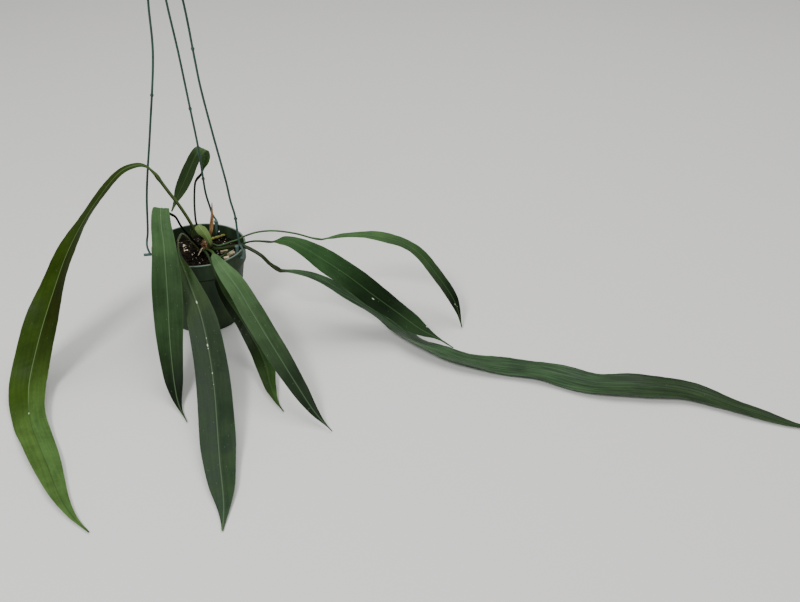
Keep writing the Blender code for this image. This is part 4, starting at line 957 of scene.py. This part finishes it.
def moulded_polypropylene(name, colour, dark, roughness, dirt=0.0, painted_highlight_above=None, step=None,
                          pale_below=None):
    """Moulded polypropylene: even colour, a faint flow grain and a soft shine.

    Dirt is how much dried mix is splashed on it, painted_highlight_above is the height
    above which its edge is painted paler as a highlight, step is the height of a moulded
    step under which a dark line of painted shade is drawn, and pale_below is the height
    below which the thicker moulding looks milkier. The mould's own grain is finer than it is drawn.
    """
    material, tree, shader = blank_material(name)
    place = add_node(tree, "ShaderNodeTexCoord").outputs["Object"]
    height = add_node(tree, "ShaderNodeSeparateXYZ", {0: place}).outputs["Z"]
    flow = add_node(tree, "ShaderNodeMapping", {0: place, 3: (1.0, 1.0, 0.25)})
    cloud = add_node(tree, "ShaderNodeTexNoise", {
        "Vector": flow, "Scale": per_mm(FLOW_SIZE), "Detail": 3.0})
    tone = add_node(tree, "ShaderNodeValToRGB", {0: cloud},
                    ramp=((0.35, linear(dark)), (0.65, linear(colour))))
    splash = add_node(tree, "ShaderNodeTexNoise", {
        "Vector": place, "Scale": per_mm(SPLASH_SIZE), "Detail": 6.0, "Roughness": 0.7})

    # Each layer: what places it, where it starts and stops, its share there, and its colour
    layers = [(splash, 0.6, 0.68, 0.0, dirt, "#4a4033")]
    if painted_highlight_above:
        # The lip above this height is painted paler as a highlight
        layers.append((height, (painted_highlight_above - 0.5) * MM, painted_highlight_above * MM, 0.0, 0.6, "#8c9f92"))
    # A dark line of painted shade is drawn just under the collar's step
    if step:
        below = add_node(tree, "ShaderNodeMath", {0: height, 1: (step - 1.7) * MM},
                         operation="SUBTRACT")
        below = add_node(tree, "ShaderNodeMath", {0: below}, operation="ABSOLUTE")
        layers.append((below, 0.5 * MM, 0.9 * MM, 0.85, 0.0, "#080a07"))
    if pale_below:
        layers.append((height, pale_below * MM, (pale_below + 3.0) * MM, 0.3, 0.0, "#7f9a96"))
    for source, start, stop, before, after, code in layers:
        amount = add_node(tree, "ShaderNodeMapRange", {
            0: source, 1: start, 2: stop, 3: before, 4: after})
        tone = add_node(tree, "ShaderNodeMix", {0: amount, 6: tone, 7: linear(code)},
                        data_type="RGBA")

    dull = add_node(tree, "ShaderNodeMapRange", {
        0: cloud, 1: 0.3, 2: 0.7, 3: roughness - 0.06, 4: roughness + 0.1})
    skin = add_node(tree, "ShaderNodeTexNoise", {
        "Vector": place, "Scale": per_mm(MOULD_GRAIN), "Detail": 2.0})
    bump = add_node(tree, "ShaderNodeBump", {"Strength": 0.12, "Distance": 0.0002, "Height": skin})
    feed(tree, shader, {"Base Color": tone, "Roughness": dull, "Normal": bump,
                        "Specular IOR Level": 0.1})
    return material


# ---- pieces ----------------------------------------------------------------

def turned_up(name, profile, sides):
    """A closed round shell: a circle extruded and resized from one profile point to the next."""
    pick()
    radius, height = profile[0]
    bpy.ops.mesh.primitive_circle_add(vertices=sides, radius=radius * MM,
                                      location=(0, 0, height * MM))
    body = named(bpy.context.object, name)
    settle(body)
    bpy.ops.object.mode_set(mode="EDIT")
    bpy.ops.mesh.select_all(action="SELECT")
    for (before, low), (after, high) in zip(profile, profile[1:]):
        bpy.ops.mesh.extrude_region_move(
            TRANSFORM_OT_translate={"value": (0, 0, (high - low) * MM)})
        share = after / before
        bpy.ops.transform.resize(value=(share, share, 1.0), center_override=(0, 0, high * MM))
    bpy.ops.object.mode_set(mode="OBJECT")
    close_up(body)
    return body


def cut_hole(body, radius, depth, place, direction, sides=24):
    """Drill a round hole through a body."""
    pick()
    bpy.ops.mesh.primitive_cylinder_add(vertices=sides, radius=radius * MM, depth=depth * MM)
    drill = bpy.context.object
    drill.rotation_mode = "QUATERNION"
    drill.rotation_quaternion = Vector(direction).to_track_quat("Z", "Y")
    drill.location = Vector(place) * MM
    add_modifier(body, "BOOLEAN", operation="DIFFERENCE", object=drill, solver="EXACT")
    bpy.data.objects.remove(drill, do_unlink=True)


def pot_radius(height):
    """Outer radius of the pot's wall below the collar."""
    return BASE_RADIUS + (SHOULDER_RADIUS - BASE_RADIUS) * height / COLLAR_FOOT


def strand_hole(azimuth):
    """Direction out of the pot through a strand's hole, and the hole's centre."""
    outward = level_way(azimuth)
    centre = outward * (COLLAR_RADIUS - WALL / 2)
    centre[2] = POT_HEIGHT - STRAND_HOLE_DROP
    return outward, centre


def layered_noise(x, y, layers):
    """Sum of layers of noise at a place."""
    return sum(weight * noise.noise(Vector((x, y, cut)) * pace) for cut, pace, weight in layers)


def mix_surface(x, y):
    """Height of the potting mix, mounded at the crown and rough with its grain."""
    mound = MIX_MOUND * math.exp(-math.dist((x, y), CROWN_PLACE) ** 2 / MIX_MOUND_SPREAD)
    return MIX_LEVEL + mound + MIX_GRAIN * layered_noise(x, y, MIX_LAYERS)


def stem_point(angle, height):
    """A point on the crown's side, which is scarred by old leaves and drawn in at its top."""
    scar = 0.35 * math.sin(height * 1.25 + 3.0 * angle)
    rough = 0.9 * noise.noise(Vector((*around(angle, 4.0), height * 0.22)))
    reach = crown_radius(height) + min(0.0, scar + rough - 0.4)
    if height >= CROWN_TOP:
        reach -= 2.0
    return *around(angle, reach, CROWN_PLACE), height


def chip(name, size, place, turn):
    """A flake of bark from a cube: one end pinched, its edges cut off, and turned into place."""
    pick()
    bpy.ops.mesh.primitive_cube_add(size=1.0)
    body = named(bpy.context.object, name)
    for vertex in body.data.vertices:
        vertex.co.y *= 1.0 + 0.5 * vertex.co.x
        vertex.co.z *= 1.0 - 0.4 * vertex.co.x
    body.scale = Vector(size) * MM
    settle(body)
    add_modifier(body, "BEVEL", width=CHIP_BEVEL * size[2] * MM, segments=1, limit_method="NONE")
    body.location = Vector(place) * MM
    body.rotation_euler = turn
    settle(body)
    return body


def scattered(name, model, seed, count, length, squat, reach, sink=0.0):
    """Copies of one grain, each with its own mesh, strewn over the mix.

    Length is the range of their lengths, squat their height as a share of it,
    reach how far from the pot's middle they lie, and sink how deep.
    """
    draw = random.Random(seed)
    copies = []
    while len(copies) < count:
        angle = draw.uniform(0.0, 2.0 * math.pi)
        x, y = around(angle, reach * math.sqrt(draw.random()))
        if math.dist((x, y), CROWN_PLACE) < CROWN_RADIUS + CROWN_CLEARANCE:
            continue
        size = draw.uniform(*length)
        body = model.copy()
        body.data = model.data.copy()
        bpy.context.collection.objects.link(body)
        body.scale = (size, size * draw.uniform(0.5, 0.9), size * squat)
        body.rotation_euler = (draw.uniform(-0.5, 0.5), draw.uniform(-0.5, 0.5),
                               draw.uniform(0, ANY_TURN))
        lift = size * squat * 0.3 - sink
        body.location = Vector((x, y, mix_surface(x, y) + lift)) * MM
        copies.append(body)
    settle(*copies)
    return joined(name, copies)


def rod(name, start, end, radius):
    """A short straight round bar with its ends chamfered."""
    length = np.linalg.norm(end - start)
    places = np.array([0.0, ROD_CHAMFER, *(np.array((0.35, 0.5, 0.65)) * length),
                       length - ROD_CHAMFER, length])
    radii = np.full(len(places), radius)
    radii[[0, -1]] -= ROD_CHAMFER
    route = start + unit(end - start) * places[:, None]
    return rolled(name, tube_rings(route, radii, ROD_SIDES))


class LeafSizes(bpy.types.PropertyGroup):
    """Sizes that all the leaves share."""

    blade_thickness: bpy.props.FloatProperty(
        name="Blade thickness", description="Thickness of a blade beside its midrib",
        default=0.0006, unit="LENGTH")
    ripple: bpy.props.FloatProperty(
        name="Margin ripple", description="Height of the small waves along a blade's margins",
        default=0.0001, unit="LENGTH")
    joint_swell: bpy.props.FloatProperty(
        name="Joint swell", description="Share by which the joint below a blade is thicker",
        default=0.3)
    tip_half_width: bpy.props.FloatProperty(
        name="Tip half-width", description="Half-width of the thread at a blade's tip",
        default=0.0004, unit="LENGTH")
    row_step: bpy.props.FloatProperty(
        name="Row step", description="Distance between a leaf's rings",
        default=0.002, unit="LENGTH")


class PotSizes(bpy.types.PropertyGroup):
    """Sizes of the pot and the hanger."""

    sides: bpy.props.IntProperty(
        name="Sides", description="Sides of the round pot", default=160, min=32)
    strand_radius: bpy.props.FloatProperty(
        name="Strand radius", description="Radius of a hanger strand",
        default=0.00125, unit="LENGTH")


class MixSizes(bpy.types.PropertyGroup):
    """How much lies loose on the potting mix."""

    bark: bpy.props.IntProperty(
        name="Bark grains", description="Dark grains of bark", default=520, min=0)
    flecks: bpy.props.IntProperty(
        name="Flecks", description="Small pale flecks", default=190, min=0)
    fibres: bpy.props.IntProperty(
        name="Fibres", description="Loose plant fibres", default=30, min=0)


class StageLook(bpy.types.PropertyGroup):
    """The floor and the light."""

    floor_colour: bpy.props.FloatVectorProperty(
        name="Floor colour", description="Plain pale floor", subtype="COLOR", size=3,
        default=linear("#f3f2ef")[:3], min=0.0, max=1.0)
    key_power: bpy.props.FloatProperty(
        name="Key light", description="Power of the light from the front left",
        default=26.0, unit="POWER")
    top_power: bpy.props.FloatProperty(
        name="Top light", description="Power of the soft light overhead",
        default=48.0, unit="POWER")
    sky: bpy.props.FloatProperty(
        name="Sky", description="Strength of the even light all round", default=0.3)


class ANTHURIUM_OT_leaves(bpy.types.Operator):
    """Grow the ten leaves from the crown"""

    bl_idname = "anthurium.leaves"
    bl_label = "Leaves"

    def execute(self, context):
        for form in LEAVES:
            rings, notes, length = leaf_rings(form, context.scene.anthurium_leaf)
            body = rolled("blade_" + form["name"], rings, notes)
            cuticle = leaf_cuticle(form["name"].replace("leaf_", "leaf_cuticle_"), form, length)
            dress(body, cuticle, form["slot"], form["name"])
        return {"FINISHED"}


class ANTHURIUM_OT_sheath(bpy.types.Operator):
    """Grow the dried sheath that stands behind the crown"""

    bl_idname = "anthurium.sheath"
    bl_label = "Dried sheath"

    def execute(self, context):
        rings, notes, _ = leaf_rings(SHEATH, context.scene.anthurium_leaf)
        body = rolled("dried_bract", rings, notes)
        dress(body, dried_bract("dried_bract_tissue"), SHEATH["slot"], SHEATH["name"])
        return {"FINISHED"}


class ANTHURIUM_OT_crown(bpy.types.Operator):
    """Build the short stem with its fibres and the pale root that curls off it"""

    bl_idname = "anthurium.crown"
    bl_label = "Crown"

    def execute(self, context):
        heights = [*np.linspace(CROWN_FOOT, 84.0, 6), *np.linspace(85.5, CROWN_TOP, 26)]
        angles = 2.0 * math.pi * np.arange(STEM_SIDES) / STEM_SIDES
        rings = np.array([[stem_point(angle, height) for angle in angles] for height in heights])
        pieces = [rolled("stem", rings)]
        draw = random.Random(11)
        for _ in range(STEM_FIBRES):
            angle = draw.uniform(0.0, 2.0 * math.pi)
            top = draw.uniform(88.5, 98.0)
            drop = draw.uniform(5.0, 13.0)
            turn = draw.uniform(-0.5, 0.5)
            route = []
            for share in (0.0, 0.25, 0.5, 0.75, 1.0):
                height = max(top - drop * share, FIBRE_LOWEST)
                reach = crown_radius(height) + 0.1
                reach += 0.7 * math.sin(share * math.pi) * draw.random()
                reach += 3.0 * max(0.0, share - 0.6) * draw.random()
                route.append((*around(angle + turn * share, reach, CROWN_PLACE), height))
            pieces.append(tube("fibre", route, draw.uniform(0.16, 0.34), 6, 2.2,
                               lambda p, length: 1.0 - 0.6 * p / length))
        dress(joined("crown_stem", pieces), speckled("fibrous_stem"), "crown_bark", "crown")
        curl = tube("root_curl", ROOT_CURL, ROOT_CURL_RADIUS, 12, 0.8, lambda p, length:
                    1.0 + 0.15 * math.sin(p * 2.1) - 0.35 * (p / length) ** 4)
        dress(curl, speckled("pale_root"), "root_skin")
        return {"FINISHED"}


class ANTHURIUM_OT_root(bpy.types.Operator):
    """Grow the knobbly root that lies over the mix behind the crown"""

    bl_idname = "anthurium.root"
    bl_label = "Root"

    def execute(self, context):
        route = [*crown_seat(*ROOT_STUB_SEAT), *ROOT_STUB]
        pieces = [tube("root", route, ROOT_STUB_RADIUS, 16, 0.7, lambda p, length:
                       1.0 + 0.2 * math.sin(p * 0.95) + 0.1 * math.sin(p * 2.6))]
        draw = random.Random(5)
        spine, _ = smooth_route(route, ROOTLET_STEP)
        for centre in spine[3:]:
            way = (draw.uniform(-1, 1), draw.uniform(-1, 1), draw.uniform(-0.1, 0.9))
            reach = unit(np.array(way)) * draw.uniform(2.0, 3.6)
            tip = centre + reach - (0.0, 0.0, ROOTLET_SAG)
            pieces.append(tube("rootlet", [centre, centre + reach * 0.6, tip],
                               draw.uniform(0.35, 0.6), 8, 0.8,
                               lambda p, length: 1.0 - 0.5 * p / length))
        dress(joined("root_over_mix", pieces), speckled("root_velamen"), "root_skin", "root_stub")
        return {"FINISHED"}


class ANTHURIUM_OT_mix(bpy.types.Operator):
    """Fill the pot with mix and strew bark, flecks and fibres over it"""

    bl_idname = "anthurium.mix"
    bl_label = "Potting mix"

    def execute(self, context):
        sizes = context.scene.anthurium_mix
        edge = COLLAR_RADIUS - WALL - GAP
        # Radius and height, from the pot's floor up its wall and inward over the top
        profile = [(BASE_RADIUS - WALL - 2.3, FLOOR + GAP), (pot_radius(4.0) - WALL - GAP, 4.3),
                   (edge - COLLAR_STEP, COLLAR_FOOT + 1.3), (edge, COLLAR_FOOT + 2.3)]
        profile += [(edge * share, MIX_LEVEL) for share in np.linspace(1.0, 0.01, MIX_RINGS)]
        bed = turned_up("mix_bed", profile, MIX_SIDES)
        for vertex in bed.data.vertices:
            if vertex.co.z > (MIX_LEVEL - 0.5) * MM:
                x = vertex.co.x / MM
                y = vertex.co.y / MM
                crumb = layered_noise(x, y, CRUMB_LAYERS) - CRUMB_DROP
                vertex.co.z = (mix_surface(x, y) + crumb) * MM
        bpy.ops.object.shade_smooth()
        dress(bed, speckled("peat_and_bark"), "potting_mix", "potting_mix")

        model = chip("grain", (1.0, 1.0, 1.0), (0.0, 0.0, 0.0), (0.0, 0.0, 0.0))
        bark = scattered("bark_grains", model, 3, sizes.bark, length=(1.4, 4.2), squat=0.45,
                         reach=edge - 1.5, sink=0.2)
        dress(bark, speckled("composted_bark"), "potting_mix")
        flecks = scattered("pale_flecks", model, 9, sizes.flecks, length=(0.5, 1.5), squat=0.6,
                           reach=edge - 1.0)
        dress(flecks, speckled("perlite_crumbs"), "potting_mix")
        bpy.data.objects.remove(model, do_unlink=True)
        chips = [chip("chip", size, place, (*CHIP_TILT, turn)) for place, size, turn in PALE_CHIPS]
        dress(joined("pale_bark_chips", chips), speckled("weathered_bark"), "potting_mix")

        draw = random.Random(21)
        fibres = []
        for _ in range(sizes.fibres):
            middle = around(draw.uniform(0.0, 2.0 * math.pi), draw.uniform(12.0, edge - 8.0))
            turn = draw.uniform(0.0, ANY_TURN)
            reach = draw.uniform(3.0, 7.0)
            route = []
            for end, lift in ((-reach, 0.2), (0.0, 1.3), (reach, 0.2)):
                x, y = around(turn, end, middle)
                route.append((x, y, mix_surface(x, y) + lift))
            fibres.append(tube("fibre", route, draw.uniform(0.15, 0.3), 6, 1.5))
        dress(joined("coir_fibres", fibres), speckled("coir_fibre"), "potting_mix")
        return {"FINISHED"}


class ANTHURIUM_OT_pot(bpy.types.Operator):
    """Turn the thin pot with its lip and collar, and drill its holes"""

    bl_idname = "anthurium.pot"
    bl_label = "Pot"

    def execute(self, context):
        outer = COLLAR_RADIUS
        inner = outer - WALL
        foot = COLLAR_FOOT
        top = POT_HEIGHT
        # Radius and height, from the floor's underside up the outside, over the lip and back
        profile = [
            (10.0, 0.0), (BASE_RADIUS - 1.0, 0.0), (pot_radius(0.6) - 0.2, 0.6),
            (pot_radius(2.0), 2.0), (pot_radius(40.0), 40.0), (SHOULDER_RADIUS, foot - 1.0),
            (outer - 0.3, foot - 0.15), (outer, foot + 0.3), (outer, top - 2.8),
            (RIM_RADIUS - 0.15, top - 2.2), (RIM_RADIUS, top - 1.8), (RIM_RADIUS, top - 0.8),
            (RIM_RADIUS - 0.2, top - 0.25), (RIM_RADIUS - 0.6, top), (inner + 0.5, top),
            (inner + 0.1, top - 0.3), (inner, top - 0.9), (inner, foot + 2.0),
            (SHOULDER_RADIUS - WALL, foot + 1.0), (pot_radius(4.0) - WALL, 4.0),
            (BASE_RADIUS - WALL - 0.9, 2.6), (BASE_RADIUS - WALL - 2.0, FLOOR), (10.0, FLOOR)]
        pot = turned_up("nursery_pot", profile, context.scene.anthurium_pot.sides)
        for number in range(DRAIN_HOLES):
            centre = DRAIN_CIRCLE * level_way(360.0 * (number + 0.5) / DRAIN_HOLES)
            centre[2] = FLOOR / 2
            cut_hole(pot, DRAIN_RADIUS, 10.0, centre, (0, 0, 1), 32)
        for azimuth in STRAND_AZIMUTHS.values():
            outward, centre = strand_hole(azimuth)
            cut_hole(pot, STRAND_HOLE_RADIUS, 8.0, centre, outward)
        pick(pot)
        bpy.ops.object.shade_smooth_by_angle(angle=math.radians(32.0))
        # A dark line of painted shade runs under the collar's step
        plastic = moulded_polypropylene("moulded_polypropylene_pot", "#37482f", "#2a382a", 0.5,
                                        dirt=0.25, painted_highlight_above=POT_HEIGHT - 0.3, step=COLLAR_FOOT)
        dress(pot, plastic, "pot_plastic", "pot")
        return {"FINISHED"}


class ANTHURIUM_OT_hanger(bpy.types.Operator):
    """Mould the three strands, their pegs in the collar, and the hook"""

    bl_idname = "anthurium.hanger"
    bl_label = "Hanger"

    def execute(self, context):
        radius = context.scene.anthurium_pot.strand_radius / MM
        rise = np.array((0.0, 0.0, 1.0))
        apex = np.array(APEX)
        centre = apex + rise * (HOOK_STEM + HOOK_RADIUS)
        route = [apex - rise * 4.0, apex, apex + rise * 6.0]
        for number in range(1, HOOK_STEPS + 1):
            angle = math.radians(-90.0 + HOOK_TURN * number / HOOK_STEPS)
            x, z = around(angle, HOOK_RADIUS)
            route.append(centre + (x, 0.0, z))
        pieces = [
            tube("hook", route, HOOK_ROD, 20, 1.6,
                 lambda p, length: 1.0 if p < length - 1.5 else 0.8),
            tube("knuckle", [apex - rise * 9.0, apex - rise * 2.0, apex + rise * 4.0], 3.4, 24, 0.6,
                 lambda p, length: min(1.0, 0.72 + 0.2 * min(p, length - p))),
        ]
        for key, points in STRANDS.items():
            outward, hole = strand_hole(STRAND_AZIMUTHS[key])
            outside = hole + outward * (WALL / 2 + PEG_OUT)
            inside = hole - outward * (WALL / 2 + PEG_IN)
            path = [outside - rise * radius, *points, apex]
            pieces.append(tube("strand_" + key, path, radius, 16, 1.0, lambda p, length:
                               1.0 + 0.6 * sum(math.exp(-((p - stop * length) / 1.3) ** 4)
                                               for stop in STRAND_STOPS[key])))
            pieces.append(rod("pin", outside + outward * 0.8, inside - outward * 0.8, 1.5))
            if key == "left":
                pieces.append(rod("peg", outside - outward, outside + outward * 8.0, PEG_RADIUS))
                pieces.append(rod("stay", inside - rise * 5.0, inside + rise * 5.0, 1.6))
            else:
                top = inside + rise * 14.5
                pieces.append(rod("peg", inside - rise * 2.5, top, PEG_RADIUS))
                pieces.append(rod("cap", top - rise * 2.2, top + rise * 0.6, 2.4))
        plastic = moulded_polypropylene("moulded_polypropylene_hanger", "#3b544b", "#2d433a", 0.4,
                                        pale_below=107.0)
        dress(joined("hanger_moulding", pieces), plastic, "hanger_plastic", "hanger")
        return {"FINISHED"}


class ANTHURIUM_OT_stage(bpy.types.Operator):
    """Lay the pale floor and set the lights and the camera"""

    bl_idname = "anthurium.stage"
    bl_label = "Stage"

    def execute(self, context):
        stage = context.scene.anthurium_stage
        pick()
        bpy.ops.mesh.primitive_plane_add(size=14.0)
        floor = named(context.object, "floor")
        # Matt paint: a plain pale ground with no highlight
        material, tree, shader = blank_material("matt_painted_floor")
        feed(tree, shader, {"Base Color": (*stage.floor_colour, 1.0), "Roughness": 0.75})
        floor.data.materials.append(material)
        world = bpy.data.worlds.new("even_light")
        context.scene.world = world
        world.use_nodes = True
        feed(world.node_tree, world.node_tree.nodes["Background"],
             {"Color": (1.0, 1.0, 1.0, 1.0), "Strength": stage.sky})
        # Lights: name, place, the point each looks at, size and power
        for name, place, target, size, power in (
                ("key_light", (-0.45, -1.5, 1.7), (0.1, -0.1, 0.05), 0.45, stage.key_power),
                ("top_light", (0.4, 0.4, 2.6), (0.2, -0.1, 0.0), 2.6, stage.top_power)):
            bpy.ops.object.light_add(type="AREA", location=place)
            lamp = named(context.object, name)
            lamp.data.size = size
            lamp.data.energy = power
            way = Vector(target) - Vector(place)
            lamp.rotation_euler = way.to_track_quat("-Z", "Y").to_euler()
        bpy.ops.object.camera_add(location=CAMERA_PLACE,
                                  rotation=(math.radians(90.0 - CAMERA_DOWN), 0.0, 0.0))
        camera = named(context.object, "camera")
        camera.data.lens = 45.0
        camera.data.sensor_width = 36.0
        camera.data.clip_end = 50.0
        context.scene.camera = camera
        return {"FINISHED"}


class ANTHURIUM_PT_pieces(bpy.types.Panel):
    """Sizes and one button for each group of pieces"""

    bl_idname = "ANTHURIUM_PT_pieces"
    bl_label = "Strap-leaved anthurium"
    bl_space_type = "VIEW_3D"
    bl_region_type = "UI"
    bl_category = "Anthurium"

    def draw(self, context):
        for group in PROPERTY_GROUPS:
            values = getattr(context.scene, group)
            box = self.layout.box()
            for key in values.__annotations__:
                box.prop(values, key)
        for step in STEPS:
            self.layout.operator(step.bl_idname)


PROPERTY_GROUPS = {
    "anthurium_leaf": LeafSizes,
    "anthurium_pot": PotSizes,
    "anthurium_mix": MixSizes,
    "anthurium_stage": StageLook,
}
STEPS = (
    ANTHURIUM_OT_leaves,
    ANTHURIUM_OT_sheath,
    ANTHURIUM_OT_crown,
    ANTHURIUM_OT_root,
    ANTHURIUM_OT_mix,
    ANTHURIUM_OT_pot,
    ANTHURIUM_OT_hanger,
    ANTHURIUM_OT_stage,
)


def register():
    """Register the classes and hang the property groups on the scene."""
    for cls in (*PROPERTY_GROUPS.values(), *STEPS, ANTHURIUM_PT_pieces):
        bpy.utils.register_class(cls)
    for name, group in PROPERTY_GROUPS.items():
        setattr(bpy.types.Scene, name, bpy.props.PointerProperty(type=group))


def unregister():
    """Take back what register did."""
    for name in PROPERTY_GROUPS:
        delattr(bpy.types.Scene, name)
    for cls in (ANTHURIUM_PT_pieces, *reversed(STEPS), *PROPERTY_GROUPS.values()):
        bpy.utils.unregister_class(cls)


def main():
    """Build every piece in order."""
    register()
    for step in STEPS:
        group, name = step.bl_idname.split(".")
        getattr(getattr(bpy.ops, group), name)()


if __name__ == "__main__":
    main()
